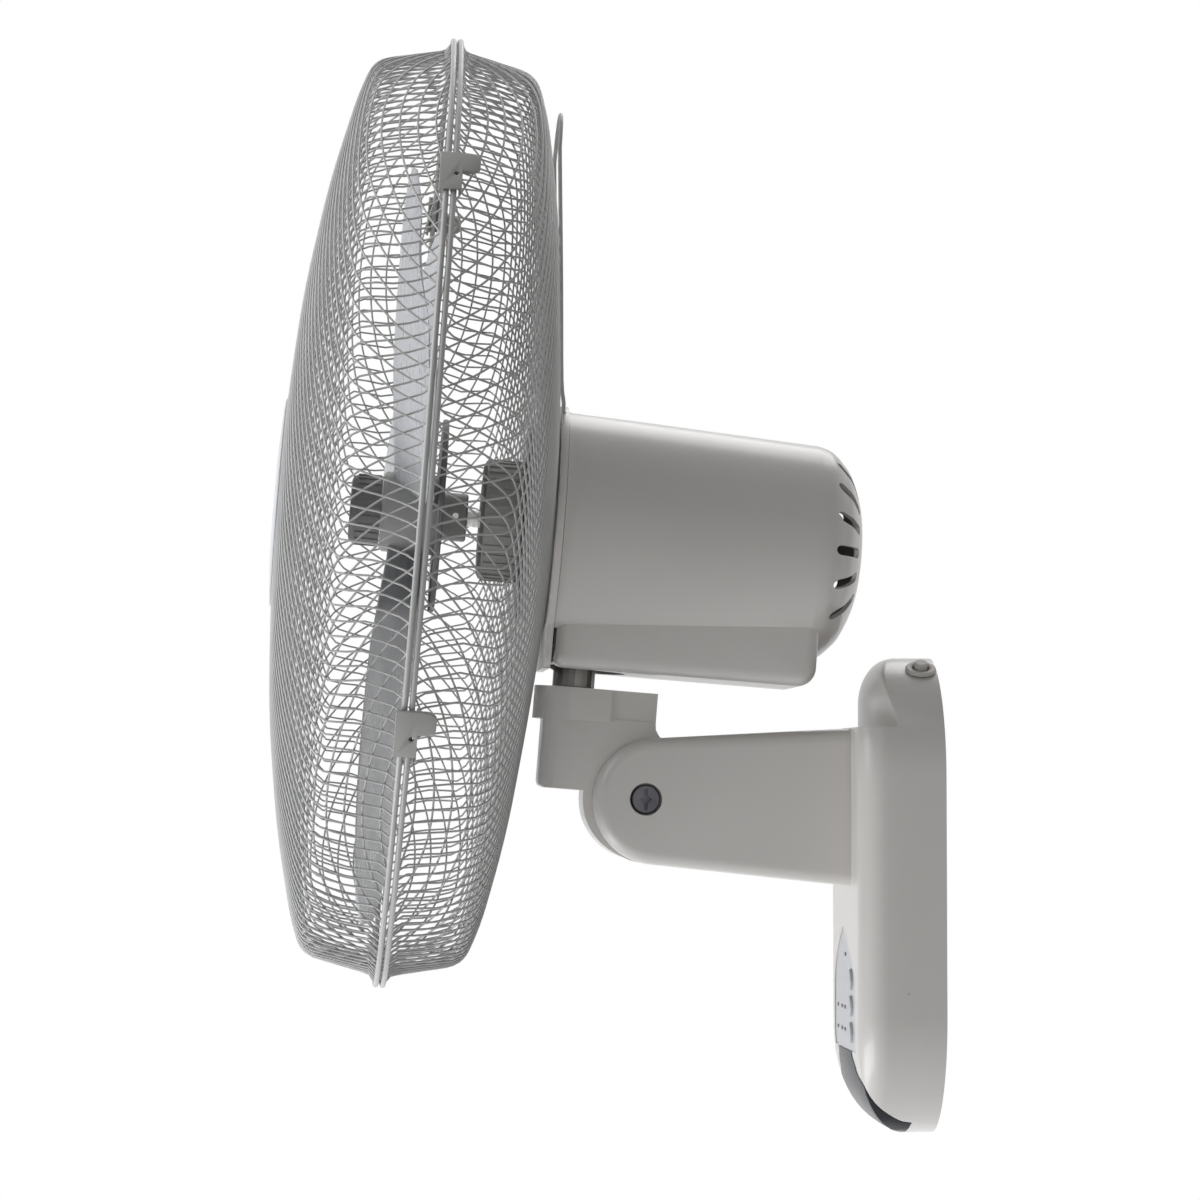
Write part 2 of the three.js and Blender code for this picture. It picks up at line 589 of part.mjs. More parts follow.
// ---------------------------------------------------------------- neck (measured from the pivot)
function neckBracket() {
  const body = acrossX([
    [NECK_FRONT, NECK_BOTTOM], [-TONGUE_R + 0.5, NECK_BOTTOM],
    ...arc(0, 0, TONGUE_R, 180, 432, 16),
    [NECK_REAR + 4, TONGUE_R + 8], [NECK_REAR + 1, TONGUE_R + 11], [NECK_REAR, TONGUE_R + 15],
    [NECK_REAR, NECK_TOP], [NECK_FRONT, NECK_TOP],
  ], -NECK_HALF, NECK_HALF);
  const flange = upZ([
    [FLANGE_R, FLANGE_REAR], ...arc(0, SWIVEL_Y, FLANGE_R, 0, -180, 12), [-FLANGE_R, FLANGE_REAR],
  ].reverse(), NECK_TOP - FLANGE_DEPTH, NECK_TOP);
  const plan = join(
    rod('z', FLANGE_R, NECK_BOTTOM - TONGUE_R * 2, NECK_TOP + 1, 28).translate(0, SWIVEL_Y, 0),
    box(-NECK_HALF - 2, NECK_HALF + 2, SWIVEL_Y, TONGUE_R * 2, NECK_BOTTOM - TONGUE_R * 2, NECK_TOP + 1),
  );
  return cut(join(overlap(body, plan), flange),
    rod('x', BOLT_R + 0.1, -NECK_HALF - 1, NECK_HALF + 1),
    rod('z', POST_R + 0.1, POST_SEAT, NECK_TOP + 1, POST_SIDES).translate(0, SWIVEL_Y, 0));
}

const swivelPost = () => cut(
  rod('z', POST_R, POST_SEAT + GAP, POST_TOP, POST_SIDES),
  rod('z', 2.4, POST_TOP - 5, POST_TOP + 1, 12),
).translate(0, SWIVEL_Y, 0);

// A spur wheel with slim straight teeth, flat on Z.
function spur(teeth, bore, z0, z1, turn) {
  const pitchR = GEAR_MODULE * teeth / 2;
  const outline = [];
  for (let i = 0; i < teeth; i += 1) {
    const middle = turn + 360 * i / teeth;
    const step = 360 / teeth;
    for (const [share, radius] of [[-0.3, -1.15], [-0.13, 0.7], [0.13, 0.7], [0.3, -1.15]]) {
      const angle = THREE.MathUtils.degToRad(middle + share * step);
      const r = pitchR + radius * GEAR_MODULE;
      outline.push([r * Math.cos(angle), r * Math.sin(angle)]);
    }
  }
  return cut(upZ(outline, z0, z1), rod('z', bore, z0 - 1, z1 + 1, POST_SIDES));
}

const gearSpacing = GEAR_MODULE * (SECTOR_TEETH + PINION_TEETH) / 2;
const pinionY = SWIVEL_Y + gearSpacing;

// ---------------------------------------------------------------- guards
// A lattice of ribs and rings on a surface of revolution, closed all round.
function lattice(profile) {
  const rows = profile.length;
  const node = (i, j, side) => {
    const [radius, ahead] = profile[j];
    const before = profile[Math.max(0, j - 1)];
    const after = profile[Math.min(rows - 1, j + 1)];
    const along = new THREE.Vector2(after[0] - before[0], after[1] - before[1]).normalize();
    const r = radius - along.y * side * GUARD_SKIN / 2;
    const a = ahead + along.x * side * GUARD_SKIN / 2;
    const turn = 2 * Math.PI * i / GUARD_RIBS;
    return new THREE.Vector3(r * Math.cos(turn), -a, r * Math.sin(turn));
  };
  const triangles = [];
  const quad = (a, b, c, d) => triangles.push(a, b, c, a, c, d);
  for (let j = 0; j < rows - 1; j += 1) {
    for (let i = 0; i < GUARD_RIBS; i += 1) {
      const faces = [-1, 1].map((side) => {
        const corner = [node(i, j, side), node(i + 1, j, side), node(i + 1, j + 1, side), node(i, j + 1, side)];
        const low = GUARD_STRIP / 2 / corner[0].distanceTo(corner[1]);
        const high = GUARD_STRIP / 2 / corner[3].distanceTo(corner[2]);
        const rise = GUARD_STRIP / 2 / corner[0].distanceTo(corner[3]);
        const inside = [[low, rise], [1 - low, rise], [1 - high, 1 - rise], [high, 1 - rise]].map(([u, v]) => {
          const bottom = corner[0].clone().lerp(corner[1], u);
          return bottom.lerp(corner[3].clone().lerp(corner[2], u), v);
        });
        return { corner, inside };
      });
      const [back, front] = faces;
      for (let k = 0; k < 4; k += 1) {
        const n = (k + 1) % 4;
        quad(front.corner[k], front.corner[n], front.inside[n], front.inside[k]);
        quad(back.corner[n], back.corner[k], back.inside[k], back.inside[n]);
        quad(front.inside[k], front.inside[n], back.inside[n], back.inside[k]);
      }
      if (j === 0) quad(back.corner[0], back.corner[1], front.corner[1], front.corner[0]);
      if (j === rows - 2) quad(front.corner[3], front.corner[2], back.corner[2], back.corner[3]);
    }
  }
  const geometry = new THREE.BufferGeometry().setFromPoints(triangles);
  return BufferGeometryUtils.mergeVertices(geometry, 1e-4);
}

function outwards(geometry) {
  // Turn a closed mesh the right way out by the sign of its volume.
  const p = geometry.attributes.position;
  const index = Array.from(geometry.index.array);
  const corner = (i) => new THREE.Vector3().fromBufferAttribute(p, index[i]);
  let volume = 0;
  for (let i = 0; i < index.length; i += 3) volume += corner(i).dot(corner(i + 1).cross(corner(i + 2)));
  if (volume < 0) for (let i = 0; i < index.length; i += 3) [index[i], index[i + 1]] = [index[i + 1], index[i]];
  geometry.setIndex(index);
  return geometry;
}

const wireRing = (ringR, ahead, wireR) => turned(arc(ringR, ahead, wireR, 36, 324, 4), 2 * GUARD_RIBS);

function guard(profile, side) {
  return join(outwards(lattice(profile)), wireRing(RIM_R, side * RIM_HALF_GAP, RIM_WIRE_R));
}

function guardClip() {
  const inner = RIM_HALF_GAP + RIM_WIRE_R + 0.7;
  const outer = inner + CLIP_WALL;
  const outerR = RIM_R + RIM_WIRE_R + GAP;
  const saddle = box(-CLIP_HALF, CLIP_HALF, -outer, outer, RIM_R - 1.2, outerR + CLIP_WALL);
  const tab = acrossX([
    [inner, RIM_R - 1.2], [inner, outerR + CLIP_WALL], [outer, outerR + CLIP_WALL],
    [CLIP_TAB, outerR - 1], [CLIP_TAB, outerR - 3.5], [outer, RIM_R - 1.2],
  ], -CLIP_HALF, -CLIP_HALF + CLIP_TAB_WIDTH);
  return cut(join(saddle, tab), box(-CLIP_HALF - 1, CLIP_HALF + 1, -inner, inner, RIM_R - 20, outerR));
}

function wireHoop() {
  const points = [
    [HOOP_HALF, HOOP_SEAT_Y, 45], [HOOP_HALF, HOOP_SEAT_Y, 60], [HOOP_HALF, HOOP_TOP_Y + 1, HOOP_TOP - 18],
    [HOOP_HALF * 0.72, HOOP_TOP_Y + 0.2, HOOP_TOP - 4], [0, HOOP_TOP_Y, HOOP_TOP],
  ].map((p) => new THREE.Vector3(...p));
  const all = [...points, ...points.slice(0, -1).reverse().map((p) => new THREE.Vector3(-p.x, p.y, p.z))];
  const rings = all.map((p, i) => {
    const before = all[Math.max(0, i - 1)];
    const after = all[Math.min(all.length - 1, i + 1)];
    const along = after.clone().sub(before).normalize();
    const side = new THREE.Vector3(0, 1, 0).cross(along).normalize();
    const up = along.clone().cross(side);
    return spread(0, 300, 5).map((deg) => {
      const t = THREE.MathUtils.degToRad(deg);
      return p.clone().addScaledVector(side, HOOP_R * Math.cos(t)).addScaledVector(up, HOOP_R * Math.sin(t)).toArray();
    });
  });
  return outwards(loft(rings));
}

// ---------------------------------------------------------------- housing (local to the fan axis, +Y behind)
function drumProfile(wall) {
  const dome = [[48.1, 196.3], [44.9, 199], [39, 204.4], [26, 209.4], [12, 211.6]];
  return [
    [0, -DRUM_FRONT + (wall ? 2 : 0)],
    [DRUM_R_FRONT - wall, -DRUM_FRONT + (wall ? 2 : 0)], [DRUM_R_SHOULDER - wall, -DRUM_SHOULDER],
    ...dome.map(([r, back]) => [r - wall * 0.8, -back + wall * 0.7]),
    [0, -DRUM_END + wall],
  ];
}

const drum = (wall) => turned(drumProfile(wall), 32).translate(0, 0, -DRUM_DROP);

// The long box under the drum that holds the swing drive.
function housingBox(wall, front) {
  const half = BOX_HALF - wall;
  const bottom = -BOX_BOTTOM + wall;
  const edge = 6;
  const outline = [
    [half, -30], [-half, -30], ...arc(-half + edge, bottom + edge, edge, 180, 270, 3),
    ...arc(half - edge, bottom + edge, edge, 270, 360, 3),
  ];
  const prism = alongY(outline, front, BOX_END - wall);
  const plan = [
    [half + 1, front - 1], ...arc(half - 10, BOX_END - wall - 11, 11, 0, 90, 3),
    ...arc(-half + 10, BOX_END - wall - 11, 11, 90, 180, 3), [-half - 1, front - 1],
  ];
  return overlap(prism, upZ(plan, -BOX_BOTTOM - 5, 0));
}

function vent(i) {
  const slot = box(-VENT_WIDTH / 2, VENT_WIDTH / 2, 193, 216, 31, 44);
  return slot.rotateY(2 * Math.PI * (i + 0.5) / VENT_COUNT).translate(0, 0, -DRUM_DROP);
}

const ventAngle = (i) => 360 * (i + 0.5) / VENT_COUNT;
const swivelLocalY = SWIVEL_Y - RIM_Y;
const swivelHole = (z0, z1) => rod('z', SWIVEL_HOLE_R, z0, z1, 28).translate(0, swivelLocalY, 0);

function motorHousing() {
  const vents = Array.from({ length: VENT_COUNT }, (_, i) => i)
    .filter((i) => Math.abs(ventAngle(i) - 180) > 35)
    .map(vent);
  const shell = join(drum(0), housingBox(0, DRUM_FRONT));
  const hollow = join(drum(HOUSING_WALL), housingBox(HOUSING_WALL, DRUM_FRONT - 1));
  return cut(shell, hollow, ...vents, swivelHole(-BOX_BOTTOM - 5, -BOX_BOTTOM + 5));
}

function housingFlange() {
  const plate = join(
    turned([[0, -FLANGE_FRONT], [DRUM_R_FRONT + FLANGE_PROUD, -FLANGE_FRONT],
      [DRUM_R_FRONT + FLANGE_PROUD, -DRUM_FRONT + GAP], [0, -DRUM_FRONT + GAP]], 40).translate(0, 0, -DRUM_DROP),
    box(-BOX_HALF - 1.5, BOX_HALF + 1.5, FLANGE_FRONT, DRUM_FRONT - GAP, -BOX_BOTTOM - 1, -30),
  );
  const hoopHoles = [-HOOP_HALF, HOOP_HALF].map((x) => rod('z', HOOP_R + GAP, 44, 62, 8).translate(x, HOOP_SEAT_Y, 0));
  return cut(plate, rod('y', 16, 50, 80), ...hoopHoles);
}

// ---------------------------------------------------------------- motor
function bell(back, sign) {
  // A dished end bell; sign +1 opens towards the back.
  const rim = back + sign * 18;
  return turned([
    [BEARING_R + 0.1, -back + sign * 0], [MOTOR_R, -back], [MOTOR_R, -rim], [MOTOR_R - BELL_THICK, -rim],
    [MOTOR_R - BELL_THICK, -back - sign * BELL_THICK], [BEARING_R + 0.1, -back - sign * BELL_THICK],
  ]);
}

function frontBell() {
  const snout = turned([
    [BEARING_R + 0.1, -BELL_FRONT - BELL_THICK], [BEARING_R + 0.1, -SNOUT_FRONT - 8], [SHAFT_R + 1, -SNOUT_FRONT - 6],
    [SHAFT_R + 1, -SNOUT_FRONT], [SNOUT_R, -SNOUT_FRONT], [SNOUT_R, -BELL_FRONT + 6], [22, -BELL_FRONT],
    [22, -BELL_FRONT - BELL_THICK],
  ]);
  return join(bell(BELL_FRONT, 1), snout);
}

const bearing = (back) => turned([
  [SHAFT_R + 0.1, -back], [BEARING_R, -back], [BEARING_R, -back - BEARING_LENGTH], [SHAFT_R + 0.1, -back - BEARING_LENGTH],
], 20);

const tube = (inner, outer, front, back, segments = 24) => turned(
  [[inner, -front], [outer, -front], [outer, -back], [inner, -back]], segments);

// Steel cradle: bears on the post and carries the motor.
function swivelCradle() {
  const sleeve = rod('z', 10, NECK_TOP + 0.6, CRADLE_Z + 1, 20);
  const inner = CRADLE_HALF - CRADLE_THICK;
  const top = AXIS_Z - Math.sqrt(MOTOR_R ** 2 - inner ** 2) - GAP;
  const plate = box(-CRADLE_HALF, CRADLE_HALF, CRADLE_FRONT, 34, CRADLE_Z, CRADLE_Z + CRADLE_THICK);
  const walls = [-CRADLE_HALF, inner].map((x) => box(x, x + CRADLE_THICK, CRADLE_FRONT, 34, CRADLE_Z, top));
  const bore = rod('z', POST_R + 0.1, NECK_TOP, POST_TOP, POST_SIDES);
  return cut(join(sleeve, plate, ...walls), bore).translate(0, SWIVEL_Y, 0);
}

// ---------------------------------------------------------------- blades
function blade() {
  const radii = [HUB_R - 3, 40, 75, 115, 155, 180, 191, BLADE_R];
  const lead = [-26, -27, -31, -35, -36, -31, -24, -12];     // degrees
  const trail = [26, 27, 29, 30, 28, 22, 15, 4];
  const depthFront = [13, 15, 18, 19, 19, 17.5, 15, 11];
  const depthBack = [-5, -5.5, -4, -2, -1, 0, 2, 5];
  const steps = 6;
  const rings = radii.map((radius, k) => {
    const top = spread(0, 1, steps).map((t) => {
      const angle = THREE.MathUtils.degToRad(lead[k] + (trail[k] - lead[k]) * t);
      const camber = 2.4 * Math.sin(Math.PI * t);
      const ahead = depthBack[k] + (depthFront[k] - depthBack[k]) * t + camber;
      return [radius * Math.sin(angle), -ahead, -radius * Math.cos(angle)];
    });
    const under = top.slice().reverse().map(([x, y, z], i) => {
      const inner = i > 0 && i < steps ? BLADE_THICK : BLADE_THICK * 0.5;
      return [x, y + inner, z];
    });
    return [...top, ...under];
  });
  return outwards(loft(rings));
}

function fanBlades() {
  const hub = turned([
    [0, HUB_FRONT], [HUB_R - 1.5, HUB_FRONT], [HUB_R, HUB_FRONT - 2], [HUB_R, HUB_BACK], [BARREL_R, HUB_BACK],
    [BARREL_R, BARREL_BACK], [0, BARREL_BACK],
  ]);
  const plate = rod('y', HUB_PLATE_R, -HUB_PLATE_BACK - HUB_PLATE_THICK, -HUB_PLATE_BACK, 48);
  const blades = Array.from({ length: BLADE_COUNT }, (_, i) =>
    blade().rotateY(THREE.MathUtils.degToRad(BLADE_TURN + 360 * i / BLADE_COUNT)));
  const pinSlot = rod('x', PIN_R + 0.1, -BARREL_R - 1, BARREL_R + 1, 12).translate(0, PIN_Y, 0);
  return cut(join(hub, plate, ...blades), rod('y', SHAFT_R + 0.1, -40, 40), pinSlot);
}

// ---------------------------------------------------------------- assembly
const fan = new THREE.Group();

function place(parent, name, geometry, colour, roughness = 0.5, metalness = 0) {
  const material = new THREE.MeshStandardMaterial({ color: COLOURS[colour], roughness, metalness });
  const mesh = new THREE.Mesh(geometry, material);
  mesh.name = name;
  parent.add(mesh);
  return mesh;
}

function group(parent, x, y, z) {
  const child = new THREE.Group();
  child.position.set(x, y, z);
  parent.add(child);
  return child;
}

// Wall base and controls.
place(fan, 'wall_bracket', wallBracket(), 'bright', 0.45, 0.8);
place(fan, 'base_shell', baseShell(), 'plastic', 0.35);
place(fan, 'back_cover', backCover(), 'plastic', 0.5);
coverScrews.forEach(([x, z], i) => {
  const one = place(fan, `cover_screw_${i + 1}`, screw(1.5, 3, 1.6, 11), 'bright', 0.35, 0.9);
  one.position.set(x, COVER_Y + GAP, z);
  one.rotation.x = -Math.PI / 2;
});
const lockScrew = place(fan, 'lock_screw', screw(LOCK_SCREW_R, LOCK_HEAD_R, 2, 10), 'bright', 0.35, 0.9);
lockScrew.position.set(0, LOCK_SCREW_Y, chinZ + LOCK_SEAT - GAP);
lockScrew.rotation.x = Math.PI;
place(fan, 'cord_gland', onShoulder(cut(
  join(rod('z', GLAND_NECK_R, -6, 1), rod('z', GLAND_COLLAR_R, GAP, 2)), rod('z', GLAND_BORE_R, -8, 4),
)), 'plastic', 0.5);
place(fan, 'gland_plug', onShoulder(join(
  rod('z', PLUG_R, -5, 4.6, 16), rod('z', GLAND_BORE_R - GAP, -5, -3, 16),
)), 'plastic', 0.5);
place(fan, 'control_panel', cut(
  overlap(skin(PANEL_THICK), alongY(panelOutline(0), -BASE_DEPTH - 4, BOARD_Y)),
  ...BUTTON_ZS.map((z) => rod('y', BUTTON_R + GAP, -BASE_DEPTH - 4, BOARD_Y).translate(BUTTON_X, 0, z)),
), 'face', 0.3);
place(fan, 'receiver_window', overlap(skin(WINDOW_THICK), windowRegion(0)), 'dark', 0.15);
place(fan, 'control_board', cut(
  box(-32, 32, BOARD_Y - BOARD_THICK, BOARD_Y, BOARD_BOTTOM, BOARD_BOTTOM + BOARD_HEIGHT),
  ...boardScrews.map(([x, z]) => rod('y', 1.7, BOARD_Y - 5, BOARD_Y + 1, 10).translate(x, 0, z)),
), 'board', 0.6);
boardScrews.forEach(([x, z], i) => {
  const one = place(fan, `board_screw_${i + 1}`, screw(1.3, 2.6, 1.4, 4), 'bright', 0.35, 0.9);
  one.position.set(x, BOARD_Y + GAP, z);
  one.rotation.x = -Math.PI / 2;
});
const boardFront = BOARD_Y - BOARD_THICK;
BUTTON_ZS.forEach((z, i) => {
  place(fan, `tact_switch_${i + 1}`, join(
    box(-3, 3, boardFront - 2.6, boardFront, -3, 3),
    rod('y', 1.6, buttonBack + BUTTON_TRAVEL + 0.1, boardFront - 1, 10),
  ), 'dark', 0.6).position.set(BUTTON_X, 0, z);
  place(fan, `button_${['power', 'speed', 'timer'][i]}`, button(), 'face', 0.4).position.set(BUTTON_X, 0, z);
});
place(fan, 'infrared_receiver', box(-3.5, 3.5, boardFront - 5, boardFront, BOARD_BOTTOM + 4, BOARD_BOTTOM + 10), 'dark', 0.3);
place(fan, 'run_capacitor', box(-18, 6, BOARD_Y, BOARD_Y + 14, BOARD_BOTTOM + 14, BOARD_BOTTOM + 36), 'dark', 0.6);
place(fan, 'terminal_block', box(-14, 14, COVER_Y - COVER_THICK - 12, COVER_Y - COVER_THICK, -24, -12), 'plastic', 0.6);
place(fan, 'pivot_bolt', pivotBolt(), 'steel', 0.35, 0.9);
place(fan, 'pivot_nut', pivotNut(), 'bright', 0.35, 0.9);

// Everything above the pivot is drawn level and tipped up to its rest tilt.
const tilted = group(fan, 0, PIVOT_Y, PIVOT_Z);
tilted.rotation.x = -THREE.MathUtils.degToRad(REST_TILT);
place(tilted, 'neck_bracket', neckBracket(), 'plastic', 0.4);
place(tilted, 'swivel_post', swivelPost(), 'steel', 0.35, 0.9);
place(tilted, 'swing_gear', spur(SECTOR_TEETH, POST_R + 0.1, GEAR_Z, GEAR_Z + GEAR_THICK, 90), 'plastic', 0.5)
  .position.set(0, SWIVEL_Y, 0);
place(tilted, 'swing_pinion', join(
  spur(PINION_TEETH, 1.4, GEAR_Z, GEAR_Z + GEAR_THICK, 90 + 180 / PINION_TEETH),
  rod('z', 1.5, GEAR_Z - 0.5, GEAR_Z + GEAR_THICK + 4, 12),
), 'brass', 0.4, 0.8).position.set(0, pinionY, 0);
place(tilted, 'swing_motor', cut(
  rod('z', SWING_MOTOR_R, GEAR_Z + GEAR_THICK + 1, GEAR_Z + GEAR_THICK + 1 + SWING_MOTOR_H),
  rod('z', 1.6, GEAR_Z, GEAR_Z + GEAR_THICK + 6, 12),
), 'bright', 0.4, 0.8).position.set(0, pinionY, 0);
place(tilted, 'swivel_cradle', swivelCradle(), 'steel', 0.45, 0.8);

// Pieces turned about the fan axis: local +Y runs back from the plane between the guards.
const head = group(tilted, 0, RIM_Y, AXIS_Z);
place(head, 'motor_housing', motorHousing(), 'plastic', 0.35);
place(head, 'housing_flange', housingFlange(), 'plastic', 0.35);
place(head, 'front_bell', frontBell(), 'bright', 0.5, 0.8);
place(head, 'rear_bell', bell(BELL_REAR, -1), 'bright', 0.5, 0.8);
place(head, 'front_bearing', bearing(BELL_FRONT - 8), 'bright', 0.3, 0.9);
place(head, 'rear_bearing', bearing(BELL_REAR - 5), 'bright', 0.3, 0.9);
place(head, 'stator_core', tube(STATOR_BORE_R, MOTOR_R - BELL_THICK - GAP, STATOR_FRONT,
  STATOR_FRONT + STATOR_LENGTH), 'steel', 0.5, 0.8);
place(head, 'front_winding', tube(STATOR_BORE_R + 2, COIL_R, STATOR_FRONT - COIL_LENGTH, STATOR_FRONT - GAP),
  'copper', 0.5, 0.4);
place(head, 'rear_winding', tube(STATOR_BORE_R + 2, COIL_R, STATOR_FRONT + STATOR_LENGTH + GAP,
  STATOR_FRONT + STATOR_LENGTH + COIL_LENGTH), 'copper', 0.5, 0.4);
place(head, 'clamp_plate', turned([
  [SNOUT_R + GAP, -NUT_BACK - GAP], [CLAMP_R, -NUT_BACK - GAP], [HUB_RING_R - 1, CLAMP_LIP + 1.2],
  [HUB_RING_R + 2.5, CLAMP_LIP + 1.2], [HUB_RING_R + 2.5, CLAMP_LIP], [HUB_RING_R - 2.2, CLAMP_LIP],
  [CLAMP_R - 1.4, -NUT_BACK - 2.2], [SNOUT_R + GAP, -NUT_BACK - 2.2],
]), 'dark', 0.5, 0.5);
place(head, 'guard_nut', turned([
  [SHAFT_R + 2, -NUT_FRONT], [GUARD_NUT_R - 2, -NUT_FRONT], [GUARD_NUT_R, -NUT_FRONT - 3], [GUARD_NUT_R, -NUT_BACK],
  [SNOUT_R + 0.1, -NUT_BACK], [SNOUT_R + 0.1, -SNOUT_FRONT + GAP], [SHAFT_R + 2, -SNOUT_FRONT + GAP],
]), 'steel', 0.5, 0.2);
place(head, 'rear_guard', guard(REAR_PROFILE, -1), 'wire', 0.4, 0.3);
place(head, 'front_guard', guard(FRONT_PROFILE, 1), 'wire', 0.4, 0.3);
const badgeSeat = FRONT_PROFILE[FRONT_PROFILE.length - 1][1] + GUARD_SKIN / 2 + GAP;
place(head, 'centre_badge', turned([
  [0, badgeSeat + BADGE_THICK + 1], [HUB_RING_R * 0.6, badgeSeat + BADGE_THICK + 0.7],
  [HUB_RING_R + 1.4, badgeSeat + BADGE_THICK * 0.6], [HUB_RING_R + 1.4, badgeSeat], [0, badgeSeat],
]), 'face', 0.4);
place(head, 'wire_hoop', wireHoop(), 'wire', 0.4, 0.5);
CLIP_ANGLES.forEach((angle, i) => {
  place(head, `guard_clip_${i + 1}`, guardClip(), 'steel', 0.5)
    .rotation.y = THREE.MathUtils.degToRad(90 - angle);
});

// Rotor: everything that spins.
const pinHole = rod('x', PIN_R + 0.1, -BARREL_R - 1, BARREL_R + 1, 12).translate(0, PIN_Y, 0);
place(head, 'motor_shaft', cut(rod('y', SHAFT_R, SHAFT_FRONT, SHAFT_BACK), pinHole), 'bright', 0.25, 0.9);
place(head, 'rotor_core', tube(SHAFT_R + 0.05, ROTOR_CORE_R, STATOR_FRONT, STATOR_FRONT + STATOR_LENGTH), 'steel', 0.5, 0.8);
place(head, 'fan_blades', fanBlades(), 'blade', 0.3);
place(head, 'spinner_cap', cut(turned([
  [0, CAP_FRONT], [CAP_R - 3, CAP_FRONT], [CAP_R - 0.6, CAP_FRONT - 1.6], [CAP_R, CAP_FRONT - 4], [CAP_R, HUB_FRONT + GAP],
  [0, HUB_FRONT + GAP],
]), rod('y', SHAFT_R + 0.1, -CAP_FRONT + 6, 0, 20)), 'dark', 0.4);
place(head, 'drive_pin', rod('x', PIN_R, -BARREL_R + 1, BARREL_R - 1, 12).translate(0, PIN_Y, 0), 'bright', 0.3, 0.9);

export default fan;
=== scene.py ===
"""A wall mounted fan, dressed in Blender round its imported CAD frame."""
import math

import bmesh
import bpy
from mathutils import Matrix, Vector


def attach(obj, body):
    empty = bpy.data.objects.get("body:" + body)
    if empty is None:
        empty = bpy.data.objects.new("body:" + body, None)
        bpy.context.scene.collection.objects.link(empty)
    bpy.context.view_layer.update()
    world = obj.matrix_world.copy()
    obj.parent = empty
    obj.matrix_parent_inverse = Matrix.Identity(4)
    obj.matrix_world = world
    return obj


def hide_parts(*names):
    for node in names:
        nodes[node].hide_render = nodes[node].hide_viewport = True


bl_info = {
    "name": "Wall fan builder",
    "version": (1, 0, 0),
    "blender": (4, 5, 0),
    "location": "3D View > Sidebar > Wall fan",
    "description": "Builds the looks of an oscillating wall fan round its frame",
    "category": "Object",
}

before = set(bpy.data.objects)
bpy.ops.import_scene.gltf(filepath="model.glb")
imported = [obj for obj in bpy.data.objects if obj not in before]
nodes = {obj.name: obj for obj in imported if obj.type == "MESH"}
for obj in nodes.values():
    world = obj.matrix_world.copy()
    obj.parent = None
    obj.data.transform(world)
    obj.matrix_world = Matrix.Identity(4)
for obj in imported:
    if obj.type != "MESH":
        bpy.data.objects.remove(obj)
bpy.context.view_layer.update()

# ------------------------------------------------------------------ sizes, in millimetres
REST_TILT = 4.55
PIVOT = (-138.5, 45.3)
RIM = (-117.1, 126.4)
RIM_R, RIM_WIRE = 223.3, 1.3
FLANGE = [(218, 4.2), (222.4, 1.65)]
FRONT_DISH = [(0, 65.8), (48, 64.6), (102, 60.9), (155, 52.7), (195, 43), (211, 37), *FLANGE]
REAR_DISH = [(0, 63.6), (48, 62.6), (100, 57.9), (155, 51.6), (193, 43.8), (210.5, 37.5), *FLANGE]
DRUM_DROP = 3.45
HOOP_HALF, HOOP_TOP = 24, 172
CLIP_NEAR, CLIP_FAR = 37.5, -151.5
BADGE_SEAT = 65.4
SHARP = 35.0  # degrees; edges that turn by less are shaded smooth
X, Y, Z = 0, 1, 2

MM = Matrix.Scale(0.001, 4)
NECK = Matrix.Translation((0, *PIVOT)) @ Matrix.Rotation(-math.radians(REST_TILT), 4, "X")
HEAD = NECK @ Matrix.Translation((0, *RIM))
HERE = Matrix.Identity(4)
FROM_DRUM = HEAD @ Matrix.Translation((0, 0, -DRUM_DROP))


# ------------------------------------------------------------------ meshes
def spread(a, b, steps):
    """Evenly spaced values from a to b, with both."""
    return [a + (b - a) * i / steps for i in range(steps + 1)]


def arc(cx, cy, r, start, end, steps):
    """Points of a circle about (cx, cy) from one angle to another, in degrees."""
    turns = [math.radians(t) for t in spread(start, end, steps)]
    return [(cx + r * math.cos(t), cy + r * math.sin(t)) for t in turns]


def placed(name, data):
    """A new object of the scene."""
    made = bpy.data.objects.new(name, data)
    bpy.context.scene.collection.objects.link(made)
    return made


def drop(thing):
    """Deletes a helper object with its mesh."""
    mesh = thing.data
    bpy.data.objects.remove(thing)
    bpy.data.meshes.remove(mesh)


def from_bmesh(name, bm):
    """An object that takes over what a bmesh holds."""
    mesh = bpy.data.meshes.new(name)
    bm.to_mesh(mesh)
    bm.free()
    return placed(name, mesh)


def piece(name, verts, faces, place=HERE):
    """A mesh object at the origin, its place in its mesh, outward normals, smooth up to an angle."""
    bm = bmesh.new()
    made = [bm.verts.new(v) for v in verts]
    for face in faces:
        bm.faces.new([made[i] for i in face])
    bmesh.ops.remove_doubles(bm, verts=bm.verts, dist=1e-4)
    bmesh.ops.dissolve_degenerate(bm, dist=1e-5, edges=bm.edges)
    bmesh.ops.recalc_face_normals(bm, faces=bm.faces)
    bm.transform(MM @ place)
    thing = from_bmesh(name, bm)
    soften(thing.data)
    return thing


def soften(mesh, sharp=SHARP):
    """Shades a mesh smooth but for its sharper edges."""
    mesh.shade_smooth()
    mesh.set_sharp_from_angle(angle=math.radians(sharp))


def loft(rings, cap_start=True, cap_end=True):
    """Vertices and faces through closed rings of points of equal length."""
    n = len(rings[0])
    last = (len(rings) - 1) * n
    verts = [p for ring in rings for p in ring]
    faces = [(k + i, k + (i + 1) % n, k + n + (i + 1) % n, k + n + i)
             for k in range(0, last, n) for i in range(n)]
    if cap_start:
        faces.append(tuple(range(n)))
    if cap_end:
        faces.append(tuple(range(last, last + n)))
    return verts, faces


